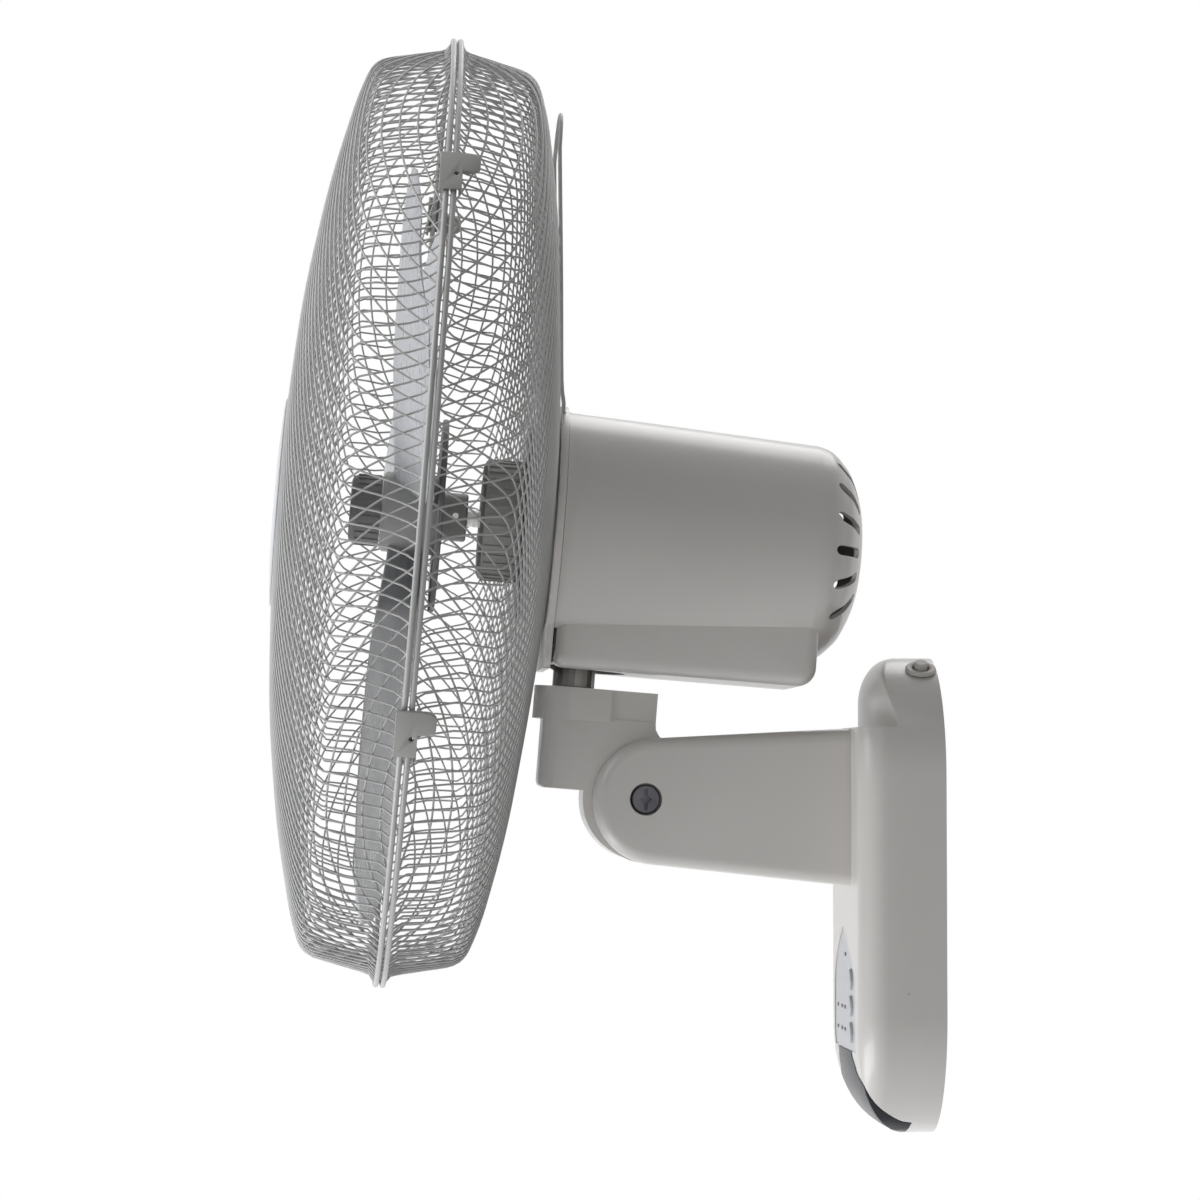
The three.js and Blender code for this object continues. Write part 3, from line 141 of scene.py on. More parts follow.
def turned(profile, steps):
    """A body turned about local Y from (radius, y) points that run from axis to axis."""
    turns = [2 * math.pi * i / steps for i in range(steps)]
    return loft([[(r * math.cos(a), y, r * math.sin(a)) for a in turns] for r, y in profile], False, False)


def extruded(axis, outline, a, b):
    """A flat outline carried along X, Y or Z; its points hold the two other coordinates in order."""
    return loft([[(*p[:axis], level, *p[axis:]) for p in outline] for level in (a, b)])


def slab(x0, x1, y0, y1, z0, z1, place=HERE):
    """A box between two values of x, two of y and two of z."""
    return piece("slab", *extruded(Z, [(x0, y0), (x1, y0), (x1, y1), (x0, y1)], z0, z1), place)


def peg(axis, r, a, b, steps, x=0, y=0, z=0, place=HERE):
    """A round post or drill along an axis through a point, from a to b along it."""
    centre = [x, y, z]
    along = centre.pop(axis)
    circle = arc(*centre, r, 0, 360 * (steps - 1) / steps, steps - 1)
    return piece("peg", *extruded(axis, circle, along + a, along + b), place)


def lathe(name, profile, steps, place=HEAD):
    """A turned piece, by default about the fan's axis."""
    return piece(name, *turned(profile, steps), place)


def settle(thing):
    """Turns what the modifiers show into the piece's own mesh."""
    depsgraph = bpy.context.evaluated_depsgraph_get()
    depsgraph.update()
    mesh = bpy.data.meshes.new_from_object(thing.evaluated_get(depsgraph))
    thing.modifiers.clear()
    old = thing.data
    thing.data = mesh
    bpy.data.meshes.remove(old)
    return thing


def carve(thing, cutters, how="DIFFERENCE", sharp=SHARP):
    """Boolean with closed shapes, which are thrown away."""
    for cutter in cutters:
        change = thing.modifiers.new("carve", "BOOLEAN")
        change.operation, change.solver, change.object = how, "MANIFOLD", cutter
    settle(thing)
    for cutter in cutters:
        drop(cutter)
    soften(thing.data, sharp)
    return thing


def soft_edges(thing, width, segments=2, angle=30.0, sharp=SHARP):
    """Rounds the edges that turn by more than an angle; the width is in millimetres."""
    bevel = thing.modifiers.new("edges", "BEVEL")
    bevel.width, bevel.segments = width * 0.001, segments
    bevel.limit_method, bevel.angle_limit = "ANGLE", math.radians(angle)
    bevel.use_clamp_overlap = True
    settle(thing)
    soften(thing.data, sharp)
    return thing


def joined(name, *things):
    """One object from several that ride together."""
    bm = bmesh.new()
    for thing in things:
        bm.from_mesh(thing.data)
        drop(thing)
    return from_bmesh(name, bm)


def hand_over(thing, body, slot, look, *stands_for):
    """Gives a piece its finish, its CAD body and the nodes that it stands for."""
    thing.data.materials.clear()
    thing.data.materials.append(looks[look])
    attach(thing, body)
    if stands_for:
        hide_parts(*stands_for)
    return thing


# ------------------------------------------------------------------ materials
def feed(tree, socket, value):
    """Links a field, a node's first output or an output to a socket, or sets the socket's plain value."""
    if isinstance(value, Field):
        value = value.source
    if isinstance(value, bpy.types.Node):
        value = value.outputs[0]
    if isinstance(value, bpy.types.NodeSocket):
        tree.links.new(value, socket)
    elif value is not None:
        socket.default_value = value


def add_node(tree, kind, settings=None, **sockets):
    """A node with its settings, and its sockets fed by name; a kind without a family is a shader node."""
    made = tree.nodes.new(kind if "Node" in kind else "ShaderNode" + kind)
    for name, value in (settings or {}).items():
        setattr(made, name, value)
    for name, value in sockets.items():
        feed(tree, made.inputs[name.replace("_", " ")], value)
    return made


class Look:
    """Builds one node material; sockets are plain values or linked outputs."""

    def __init__(self, name):
        self.material = bpy.data.materials.new(name)
        self.material.use_nodes = True
        self.tree = self.material.node_tree
        self.shader = self.tree.nodes["Principled BSDF"]
        self.place = self.node("TexCoord").outputs["Object"]

    def node(self, kind, settings=None, **sockets):
        return add_node(self.tree, kind, settings, **sockets)

    def noise(self, scale, detail, roughness=0.5, place=None):
        return self.node("TexNoise", Vector=place or self.place, Scale=scale, Detail=detail,
                         Roughness=roughness).outputs["Fac"]

    def stretch(self, factors, turn=(0, 0, 0)):
        return self.node("Mapping", Vector=self.place, Scale=factors, Rotation=turn).outputs["Vector"]

    def span(self, value, low, high, start=0.3, end=0.7):
        return self.node("MapRange", Value=value, From_Min=start, From_Max=end, To_Min=low,
                         To_Max=high).outputs["Result"]

    def blend(self, amount, a, b):
        made = self.node("Mix", {"data_type": "RGBA"}, Factor=amount)
        feed(self.tree, made.inputs[6], a)
        feed(self.tree, made.inputs[7], b)
        return made.outputs[2]

    def mottle(self, colour, one, other, value, *ends):
        """A colour that varies between two tints of itself."""
        return self.blend(self.span(value, 0.0, 1.0, *ends), tint(colour, one), tint(colour, other))

    def bump(self, height, strength, distance):
        made = self.node("Bump", Strength=strength, Distance=distance, Height=height)
        feed(self.tree, self.shader.inputs["Normal"], made.outputs["Normal"])

    def set(self, **values):
        for name, value in values.items():
            feed(self.tree, self.shader.inputs[name.replace("_", " ")], value)
        return self.material


def tint(colour, factor):
    return tuple(min(1.0, c * factor) for c in colour[:3]) + (1.0,)


def moulded(name, colour, rough, mottling, peel, coat=0.0):
    """Moulded plastic: faint flow marks and orange peel."""
    look = Look(name)
    body = look.mottle(colour, 1 - mottling, 1 + mottling, look.noise(14, 4), 0.15, 0.85)
    look.bump(look.noise(900, 2), peel, 0.00008)
    sheen = look.span(look.noise(55, 3), rough - 0.01, rough + 0.02, 0.1, 0.9)
    return look.set(Base_Color=body, Roughness=sheen, Coat_Weight=coat, Coat_Roughness=0.15, IOR=1.5)


def metal(name, colour, rough, streak=(40, 900, 40), depth=0.12):
    """Plated or machined steel with fine streaks and small stains."""
    look = Look(name)
    lines = look.noise(1.0, 3, 0.6, look.stretch(streak))
    body = look.mottle(colour, 1.0, 0.78, look.noise(60, 4), 0.45, 0.75)
    look.bump(lines, depth, 0.00005)
    return look.set(Base_Color=body, Metallic=0.9, Roughness=look.span(lines, rough - 0.06, rough + 0.12))


def coated_wire(name, colour):
    """Powder-coated wire: soft sheen, small pits and a darker tone in some runs."""
    look = Look(name)
    body = look.mottle(colour, 0.94, 1.06, look.noise(25, 3))
    look.bump(look.noise(2500, 2), 0.1, 0.00005)
    return look.set(Base_Color=body, Roughness=look.span(look.noise(300, 2), 0.3, 0.42), IOR=1.5)


def blade_plastic(name, colour):
    """Pale, slightly see-through plastic with a mottled, hammered look."""
    look = Look(name)
    cells = look.noise(180, 5, 0.65)
    body = look.mottle(colour, 0.9, 1.07, cells, 0.35, 0.65)
    look.bump(cells, 0.2, 0.0004)
    sheen = look.span(look.noise(90, 2), 0.25, 0.4)
    return look.set(Base_Color=body, Roughness=sheen, Transmission_Weight=0.12, IOR=1.49)


def smoked(name, colour):
    """Dark glossy plastic with a faint haze, too thin in index to mirror its surroundings."""
    look = Look(name)
    body = look.mottle(colour, 0.8, 1.25, look.noise(30, 4))
    look.bump(look.noise(700, 2), 0.03, 0.00005)
    return look.set(Base_Color=body, Roughness=look.span(look.noise(120, 3), 0.14, 0.2, 0.2, 0.8), IOR=1.06)


def lined(name, kind, settings, sockets, dark, light, relief, metallic, rough, turn=0.0):
    """A surface of fine lines: a pattern between two colours that also stands up a little."""
    look = Look(name)
    place = look.stretch((1, 1, 1), (turn, 0, 0))
    lines = look.node(kind, settings, Vector=place, **sockets).outputs["Fac"]
    look.bump(lines, *relief)
    scale, detail, low, high = rough
    return look.set(Base_Color=look.blend(lines, (*dark, 1), (*light, 1)), Metallic=metallic,
                    Roughness=look.span(look.noise(scale, detail), low, high))


looks = {}


def make_looks():
    colours = bpy.context.scene.wall_fan_colours
    shell, face, wire = colours.shell, colours.face, colours.wire
    looks.update(
        shell=moulded("shell_plastic", shell, 0.3, 0.015, 0.06, 0.2),
        face=moulded("panel_plastic", face, 0.32, 0.012, 0.1),
        inner=moulded("inner_plastic", tint(shell, 0.95), 0.5, 0.03, 0.3),
        window=smoked("smoked_window", (0.035, 0.036, 0.042)),
        wire=coated_wire("coated_wire", wire),
        clip=moulded("clip_plastic", (0.30, 0.295, 0.285), 0.4, 0.03, 0.15),
        blade=blade_plastic("blade_plastic", (0.54, 0.55, 0.575)),
        dark=moulded("dark_plastic", (0.045, 0.045, 0.05), 0.4, 0.05, 0.2),
        nut=moulded("nut_plastic", (0.37, 0.365, 0.345), 0.45, 0.04, 0.2),
        cap=moulded("cap_plastic", (0.15, 0.15, 0.15), 0.4, 0.05, 0.2),
        plate=moulded("hub_plate_plastic", (0.12, 0.12, 0.12), 0.45, 0.04, 0.2),
        hub=moulded("hub_plastic", (0.32, 0.32, 0.31), 0.4, 0.03, 0.15),
        plated=metal("plated_steel", (0.62, 0.62, 0.6), 0.3),
        steel=metal("dark_steel", (0.2, 0.19, 0.18), 0.38),
        # The pivot bolt's steel is painted near black as painted shade, for the shadow that falls in the
        # recess round its head.
        blued=metal("blued_steel", (0.09, 0.09, 0.1), 0.4, (60, 60, 60), 0.05),
        cast=metal("cast_metal", (0.5, 0.5, 0.49), 0.5, (300, 300, 300), 0.3),
        brass=metal("gear_brass", (0.62, 0.45, 0.2), 0.35),
        copper=lined("winding_copper", "TexWave", {"wave_type": "RINGS", "rings_direction": "Y"},
                     {"Scale": 500, "Distortion": 2.5}, (0.16, 0.06, 0.025), (0.52, 0.25, 0.11),
                     (0.5, 0.0003), 0.6, (200, 2, 0.3, 0.5)),
        core=lined("core_steel", "TexWave", {"wave_type": "BANDS", "bands_direction": "Y"}, {"Scale": 320},
                   (0.09, 0.085, 0.08), (0.3, 0.29, 0.28), (0.4, 0.0002), 0.8, (150, 3, 0.4, 0.6)),
        board=lined("circuit_board", "TexBrick", {"offset": 0.5},
                    {"Scale": 120.0, "Mortar_Size": 0.03, "Brick_Width": 0.9, "Row_Height": 0.35},
                    (0.05, 0.2, 0.09), (0.16, 0.4, 0.16), (0.2, 0.0001), 0.0, (200, 2, 0.25, 0.4),
                    math.pi / 2),
    )


# ------------------------------------------------------------------ geometry node trees
class Field:
    """A number or vector inside a node tree, with ordinary arithmetic."""

    def __init__(self, tree, source):
        self.tree, self.source = tree, source

    def do(self, operation, *others):
        made = add_node(self.tree, "Math", {"operation": operation})
        for slot, value in zip(made.inputs, (self, *others)):
            feed(self.tree, slot, value)
        return Field(self.tree, made)

    def __add__(self, other):
        return self.do("ADD", other)

    def __sub__(self, other):
        return self.do("SUBTRACT", other)

    def __mul__(self, other):
        return self.do("MULTIPLY", other)

    def __truediv__(self, other):
        return self.do("DIVIDE", other)

    def sin(self):
        return self.do("SINE")

    def cos(self):
        return self.do("COSINE")


class Tree:
    """A geometry node tree with named inputs; a node kind without a family is a geometry node."""

    def __init__(self, name, inputs):
        self.tree = bpy.data.node_groups.new(name, "GeometryNodeTree")
        side = self.tree.interface
        side.new_socket("Geometry", in_out="INPUT", socket_type="NodeSocketGeometry")
        side.new_socket("Geometry", in_out="OUTPUT", socket_type="NodeSocketGeometry")
        for label, value in inputs.items():
            kind = {int: "Int", float: "Float"}.get(type(value), "Material")
            made = side.new_socket(label, in_out="INPUT", socket_type=f"NodeSocket{kind}")
            if value is not None:
                made.default_value = value
        self.start = self.tree.nodes.new("NodeGroupInput")
        self.end = self.tree.nodes.new("NodeGroupOutput")

    def field(self, source):
        return Field(self.tree, source)

    def given(self, label):
        return self.field(self.start.outputs[label])

    def add(self, kind, settings=None, **sockets):
        return add_node(self.tree, kind if "Node" in kind else "GeometryNode" + kind, settings, **sockets)

    def vector(self, x, y, z):
        return self.field(self.add("ShaderNodeCombineXYZ", X=x, Y=y, Z=z))

    def finish(self, *geometries, material):
        gather = self.add("JoinGeometry")
        for geometry in geometries:
            feed(self.tree, gather.inputs[0], geometry)
        real = self.add("RealizeInstances", Geometry=gather)
        smooth = self.add("SetShadeSmooth", Geometry=real)
        feed(self.tree, self.end.inputs[0], self.add("SetMaterial", Geometry=smooth, Material=material))
        return self.tree


def grow(name, base, tree, values, sharp=None):
    """Runs a tree on a base object, in metres, and keeps the result as a plain mesh on the head."""
    change = base.modifiers.new("grow", "NODES")
    change.node_group = tree
    for item in tree.interface.items_tree:
        if item.item_type == "SOCKET" and item.in_out == "INPUT" and item.name in values:
            change[item.identifier] = values[item.name]
    bpy.context.view_layer.update()
    depsgraph = bpy.context.evaluated_depsgraph_get()
    mesh = bpy.data.meshes.new_from_object(base.evaluated_get(depsgraph))
    bpy.data.objects.remove(base)
    place = HEAD.copy()
    place.translation *= 0.001
    mesh.transform(place)
    mesh.name = name
    made = placed(name, mesh)
    if sharp is not None:
        soften(mesh, sharp)
    return made


def wire_mesh_tree():
    """Square wire mesh drawn over a dish: straight on the face, stretched down the wall."""
    tree = Tree("wire_mesh_guard", {
        "Pitch": 0.0064, "Wire radius": 0.0006, "Wires each side": 37, "Points": 90, "Turn": 0.087,
        "Face length": 0.2085, "Wall length": 0.0404, "Stretch": 1.66, "Bias": 0.39, "Twist": 0.03,
        "Hub hole": 0.0, "Side": 1.0, "Rim radius": 0.2236, "Rim wire": 0.0013, "Rim offset": 0.00165,
        "Hub radius": 0.048, "Hub wire": 0.0015, "Hub offset": 0.067, "Material": None})
    given, add, field, vector = tree.given, tree.add, tree.field, tree.vector
    face, wall = given("Face length"), given("Wall length")
    line = add("MeshLine", {"mode": "END_POINTS"}, Count=given("Points"), Start_Location=(-1, 0, 0),
               Offset=(1, 0, 0))
    across = (field(add("InputIndex")) - given("Wires each side")) * given("Pitch")

    def reach(distance):
        # Flat radius at which a wire this far from the middle meets the rim.
        angle = (across / distance).do("MAXIMUM", -1.0).do("MINIMUM", 1.0).do("ARCSINE")
        return face + wall / (given("Stretch") - (angle * 4.0).cos() * given("Bias"))

    flat = reach(reach(face + wall * 0.6))
    half = (flat * flat - across * across).do("MAXIMUM", 1e-8).do("SQRT")
    points = add("Points", Count=given("Wires each side") * 2.0 + 1.0, Position=vector(0.0, across, 0.0))
    profile = add("CurvePrimitiveCircle", Resolution=5, Radius=given("Wire radius"))
    wires = []
    for lay, quarter in ((-1.0, 45), (1.0, 135)):
        laid = add("InstanceOnPoints", Points=points, Instance=line, Scale=vector(half, 1.0, 1.0))
        real = add("RealizeInstances", Geometry=laid)
        spot = add("ShaderNodeSeparateXYZ", Vector=add("InputPosition"))
        u, v = field(spot.outputs["X"]), field(spot.outputs["Y"])
        rho = (u * u + v * v).do("SQRT")
        inside = add("FunctionNodeCompare", {"data_type": "FLOAT", "operation": "LESS_THAN"})
        for slot, value in zip(inside.inputs, (rho, given("Hub hole"))):
            feed(tree.tree, slot, value)
        pierced = add("DeleteGeometry", {"domain": "POINT"}, Geometry=real, Selection=inside)
        bias = v.do("ARCTAN2", u) + math.radians(quarter)
        four = bias * 4.0
        over = (rho - face).do("MAXIMUM", 0.0)
        run = rho + over * (given("Stretch") - 1.0 + four.cos() * given("Bias"))
        fade = (over / 0.01).do("MINIMUM", 1.0)
        turn = bias + given("Turn") - four.sin() * given("Twist") * fade
        sample = add("SampleCurve", {"mode": "LENGTH"}, Curves=tree.start, Length=run)
        place = add("ShaderNodeSeparateXYZ", Vector=sample.outputs["Position"])
        slope = add("ShaderNodeSeparateXYZ", Vector=sample.outputs["Tangent"])
        lift = given("Wire radius") * lay
        radius = field(place.outputs["X"]) - field(slope.outputs["Y"]) * lift
        back = field(place.outputs["Y"]) + field(slope.outputs["X"]) * lift
        bent = add("SetPosition", Geometry=pierced,
                   Position=vector(radius * turn.cos(), back * given("Side"), radius * turn.sin()))
        runs = add("MeshToCurve", Mesh=bent)
        wires.append(add("CurveToMesh", Curve=runs, Profile_Curve=profile, Fill_Caps=True))
    for part, steps in (("Rim", 160), ("Hub", 96)):
        circle = add("CurvePrimitiveCircle", Resolution=steps, Radius=given(f"{part} radius"))
        stood = add("Transform", Geometry=circle, Rotation=(math.pi / 2, 0, 0),
                    Translation=vector(0.0, given(f"{part} offset") * given("Side"), 0.0))
        bead = add("CurvePrimitiveCircle", Resolution=12, Radius=given(f"{part} wire"))
        wires.append(add("CurveToMesh", Curve=stood, Profile_Curve=bead))
    return tree.finish(*wires, material=given("Material"))


def dish_curve(name, points, corner):
    """The guard's half profile as a poly curve: X is the radius, Y the distance from the rim plane."""
    path = [points[0]]
    bend = len(points) - 3
    for i in range(1, len(points) - 1):
        a, p, b = Vector(points[i - 1]), Vector(points[i]), Vector(points[i + 1])
        r = corner if i == bend else min(20, 0.45 * (a - p).length, 0.45 * (b - p).length)
        s, e = p + (a - p).normalized() * r, p + (b - p).normalized() * r
        path += [tuple(s * (1 - t) ** 2 + p * 2 * t * (1 - t) + e * t * t) for t in spread(0, 1, 8)]
    path.append(points[-1])
    data = bpy.data.curves.new(name, "CURVE")
    data.dimensions = "3D"
    line = data.splines.new("POLY")
    line.points.add(len(path) - 1)
    for point, (r, y) in zip(line.points, path):
        point.co = (r * 0.001, y * 0.001, 0, 1)
    made = placed(name, data)
    lengths = [0.0]
    for a, b in zip(path, path[1:]):
        lengths.append(lengths[-1] + math.dist(a, b))
    corner_at = next(s for s, p in zip(lengths, path) if p[0] >= points[bend][0] - 0.5)
    return made, corner_at * 0.001, (lengths[-1] - corner_at) * 0.001


# ------------------------------------------------------------------ wall base
BASE_R, BASE_STRAIGHT = 57.5, 55.0
EDGE_R, LOWER_EDGE = 14.0, -41.8
SLOT_R, SLOT_REAR, TONGUE_R = 29.3, 15.5, 28.9
LEDGE_Z, BASE_WALL, BOTTOM_Z = 79.0, 2.5, -112.5
PANEL_BOTTOM, PANEL_TOP = -72.5, -15.0
BUTTONS = {"power": -39.0, "speed": -51.5, "timer": -64.0}
BUTTON_X, BUTTON_R = 25.0, 4.75
LEAN = math.radians(28)
SHOULDER = (Matrix.Translation((BASE_R * math.sin(LEAN), -8.6, BASE_STRAIGHT + BASE_R * math.cos(LEAN)))
            @ Matrix.Rotation(LEAN, 4, "Y"))


def lower_front(x, z):
    """The Y of the lower block's face, which curves back to the wall at its foot."""
    fall = min(1.0, max(0.0, (-62.5 - z) / 50))
    return -10.4 - 32 * (1 - fall ** 2.2) ** (1 / 2.2) + x * x / 2000


def upper_front(x, z):
    """The Y of the upper block's face, which curves back to the wall at its top."""
    rise = min(1.0, max(0.0, (z - 90.5) / 22))
    return -18 - 16 * math.sqrt(1 - rise * rise) + x * x / 235


def body_block(front, edge_y, wall, back):
    """A pill-shaped block: side wall, edge rounding, sharp crease and the front face inside it.

    With no edge_y the front face runs out to the side wall and only its edge is broken."""
    outline = [(x, z, end) for end, start in ((BASE_STRAIGHT, 0), (-BASE_STRAIGHT, 180))
               for x, z in arc(0, 0, 1, start, start + 180, 40)]

    def at(point, inset):
        x, z, end = point
        r = BASE_R - wall - inset
        return x * r, end + z * r

    def curve(inset):
        return edge_y + EDGE_R - math.sqrt(max(0.0, EDGE_R ** 2 - (EDGE_R - inset) ** 2)) + wall

    def face(point, inset):
        x, z = at(point, inset)
        return front(x, z) + wall

    def crease_of(point):
        # How far in from the side wall the rounding meets the face.
        if edge_y is None:
            return 1.0
        low, high = 0.0, EDGE_R if face(point, 0) < curve(0) else 0.0
        for _ in range(24):
            middle = (low + high) / 2
            low, high = (middle, high) if face(point, middle) < curve(middle) else (low, middle)
        return high

    creases = [crease_of(point) for point in outline]

    def ring(inset_of, height_of):
        made = []
        for point, crease in zip(outline, creases):
            inset = inset_of(crease)
            x, z = at(point, inset)
            made.append((x, height_of(point, inset), z))
        return made

    rings = [ring(lambda c: 0.0, lambda p, i: back)]
    if edge_y is None:
        steps, power = 24, 1.3
        rings += [ring(lambda c: inset, lambda p, i: face(p, i) + lower)
                  for inset, lower in ((0.0, 1.0), (0.3, 0.3), (1.0, 0.0))]
    else:
        steps, power = 18, 1
        rings += [ring(lambda c: c * (1 - math.cos(t * math.pi / 2)), lambda p, i: max(curve(i), face(p, i)))
                  for t in spread(0, 1, 8)]
    rings += [ring(lambda c: c + (BASE_R - wall - c) * t ** power, face) for t in spread(0, 1, steps)[1:]]
    return loft(rings, True, False)


def arm_block():
    """The arm with its long edges rounded, and a small flare where it meets the base."""
    edge, rings = 6.0, []
    turns = [math.radians(a) for a in spread(0, 90, 6)]
    for side, order in ((-1, turns[::-1]), (1, turns)):
        for a in order:
            x, inset = side * (29 - edge * (1 - math.sin(a))), edge * (1 - math.cos(a))
            end = arc(-133.2, 44.3, 29.75 - inset, 265, 93, 40)
            rings.append([(x, y, z) for y, z in [(-30, 3.2 + inset), *end, (-30, 79.3 - inset)]])
    return loft(rings)


def chin_prism(grow=0.0):
    """What lies in front of the window's edge line, seen from the side, clear of the lock screw."""
    top = PANEL_BOTTOM - 0.3 + grow
    line = [(-41.6, top), (-41.2, -76.3), (-39.4, -84.2), (-36.2, -91.3), (-31.2, -97.6), (-24.8, -102.3),
            (-18.8, -105.4), (-13.6, -106.3), (-15.6, -118)]
    line = smooth_path(line[:-1], 4) + line[-1:]
    outline = [(-60, top), *((y + grow, z + grow) for y, z in line), (-60, -118)]
    clear = slab(-9 + grow, 9 - grow, -21 + grow, 0, -125, -95)
    return carve(piece("chin", *extruded(X, outline, -70, 70)), [clear])


def panel_outline(grow=0.0):
    """A leaf-shaped upper half on a lower half of one width."""
    height, half = PANEL_TOP - PANEL_BOTTOM + grow, 37.5 + grow
    side = [(half * math.sin(min(1.0, (1 - t) * 2) * math.pi / 2) ** 0.95, PANEL_BOTTOM + height * t)
            for t in spread(0, 1, 24)]
    return side + [(-x, z) for x, z in side[-2::-1]]


def lower_block(wall, back):
    made = piece("lower", *body_block(lower_front, LOWER_EDGE, wall, back))
    return carve(made, [slab(-70, 70, -70, 20, LEDGE_Z - wall, 130)])


def upper_block(wall, back):
    made = piece("upper", *body_block(upper_front, None, wall, back))
    return carve(made, [slab(-70, 70, -70, 20, -130, -60)])


def from_front(outline):
    return piece("prism", *extruded(Y, outline, -60, -30))


def beyond(prism, depth):
    """What a prism takes from outside down to a set depth under the lower front face."""
    return carve(prism, [lower_block(depth, 1)])


def skin(prism, depth, sunk=0.0):
    """The layer of the lower block inside a prism, from one depth under its face to another."""
    made = carve(lower_block(sunk, -1), [prism], "INTERSECT")
    return carve(made, [lower_block(depth, 2)])


def button_drills():
    return [peg(Y, BUTTON_R + 0.3, -50, -34, 48, BUTTON_X, 0, z) for z in BUTTONS.values()]


def tongue_slot():
    """What the neck's tongue sweeps between the cheeks."""
    turn = math.degrees(math.acos(SLOT_REAR / SLOT_R))
    y, z = PIVOT
    outline = [(y - 60, z - 60), (y, z - 60), *arc(y, z, SLOT_R, -90, turn, 40),
               (y + SLOT_REAR, z + 60), (y - 60, z + 60)]
    return extruded(X, outline, -17.3, 17.3)


def base_shell():
    shell = upper_block(0, -1)
    carve(shell, [lower_block(0, -1), piece("arm", *arm_block())], "UNION")
    carve(shell, [upper_block(BASE_WALL, 1), lower_block(BASE_WALL, 1)])
    end = PIVOT[0] + SLOT_R + 2.5
    carve(shell, [piece("hollow", *extruded(X, [(-33, 9.2), (end, 22.3), (end, 65.3), (-33, 71)], -26, 26))])
    corners = [(x, z) for x in (-40, 40) for z in (60, -60)]
    posts = [peg(Y, 4, -8.3, lower_front(x, z) + 1, 24, x, 0, z) for x, z in corners]
    posts += [peg(Y, 3.2, -32.9, lower_front(x, -30) + 2, 20, x, 0, -30) for x in (-24, 24)]
    posts.append(peg(Z, 6.6, BOTTOM_Z + 1, BOTTOM_Z + 5.5, 32, 0, -13))
    carve(shell, posts, "UNION")
    cuts = [piece("slot", *tongue_slot()), beyond(from_front(panel_outline(0.25)), 1.3),
            beyond(chin_prism(0.25), 2.35)]
    cuts += [peg(X, r, a, b, n, 0, *PIVOT) for r, a, b, n in ((4.3, -30, 30, 32), (7.6, 24, 30, 64),
                                                              (7.6, -30, -22, 64))]
    cuts += button_drills() + [peg(Y, 1.8, -5, -22, 16, x, 0, z) for x, z in corners]
    cuts += [peg(Z, 5.7, -8, 4, 48, place=SHOULDER), slab(-9, 9, -8, 1, BOTTOM_Z - 1, BOTTOM_Z + 6),
             peg(Z, 2.3, BOTTOM_Z - 3, BOTTOM_Z + 8, 24, 0, -13),
             peg(Z, 3.9, BOTTOM_Z - 3, BOTTOM_Z + 2.5, 32, 0, -13), peg(X, 0.5, 57, 60, 12, 0, -19, -44.5)]
    carve(shell, cuts, sharp=28)
    shell.name = "base_body"
    return shell


# ------------------------------------------------------------------ neck, housing, blades
def neck_body():
    outline = [(-50.3, 5), (-49.4, 2.9), (-47.3, 2), (-TONGUE_R, 2), *arc(0, 0, TONGUE_R, 180, 436, 90),
               (4.6, 30.4), (3.0, 33), (2.7, 36), (2.7, 50), (-50.3, 50)]
    body = piece("neck_body", *extruded(X, outline, -17, 17), NECK)
    plan = [*arc(0, -36.6, 18.3, 180, 360, 40), (18.3, TONGUE_R + 3), (-18.3, TONGUE_R + 3)]
    carve(body, [piece("plan", *extruded(Z, plan, -40, 60), NECK)], "INTERSECT")
    flange = [(18.3, -19), *arc(0, -36.6, 18.3, 0, -180, 40), (-18.3, -19)]
    carve(body, [piece("flange", *extruded(Z, flange[::-1], 34.5, 50), NECK)], "UNION")
    carve(body, [peg(X, 4.1, -20, 20, 32, place=NECK), peg(Z, 6.1, 38, 51, 32, 0, -36.6, place=NECK)]
          + [slab(*sides, -17.4, 1.4, 36.2, 48.6, place=NECK) for sides in ((-19, -16.5), (16.5, 19))])
    return soft_edges(body, 0.7)


def between(a, b, c, d, t):
    """Catmull-Rom value at the share t of the way from b to c."""
    square, cube = 2 * a - 5 * b + 4 * c - d, 3 * b - a - 3 * c + d
    return 0.5 * (2 * b + (c - a) * t + square * t * t + cube * t ** 3)


def four_round(points, i):
    """The points i - 1 to i + 2, held at the ends of the list."""
    return (points[max(0, min(len(points) - 1, i + k))] for k in (-1, 0, 1, 2))


def smooth_path(points, steps):
    """Points of a curve through the given ones."""
    points = [Vector(p) for p in points]
    spans = range(len(points) - 1)
    out = [tuple(between(*four_round(points, i), k / steps)) for i in spans for k in range(steps)]
    return out + [tuple(points[-1])]


def drum_profile(wall, front):
    """The housing's half profile with its domed back, or the hollow that a wall leaves in it."""
    dome = [(51.6, 188), (50.2, 193), (48.1, 196.3), (44.9, 199.6), (39, 204.2), (26, 209.4), (12, 211.6),
            (0, 212)]
    back = [(max(0, r - wall * 0.8), y - wall * 0.7) for r, y in smooth_path(dome, 6)[:-1]]
    return [(0, front), (57.8 - wall, front), *back, (0, 212 - wall)]


def housing_box(wall, front):
    half, bottom, end = 36.4 - wall, -68 + wall, 192 - wall
    r = 9 - wall
    side = [(front, bottom), *arc(end - r, bottom + r, r, -90, 0, 10), (end, -30), (front, -30)]
    made = piece("box", *extruded(X, side, -half, half), HEAD)
    return soft_edges(made, 6, 5)


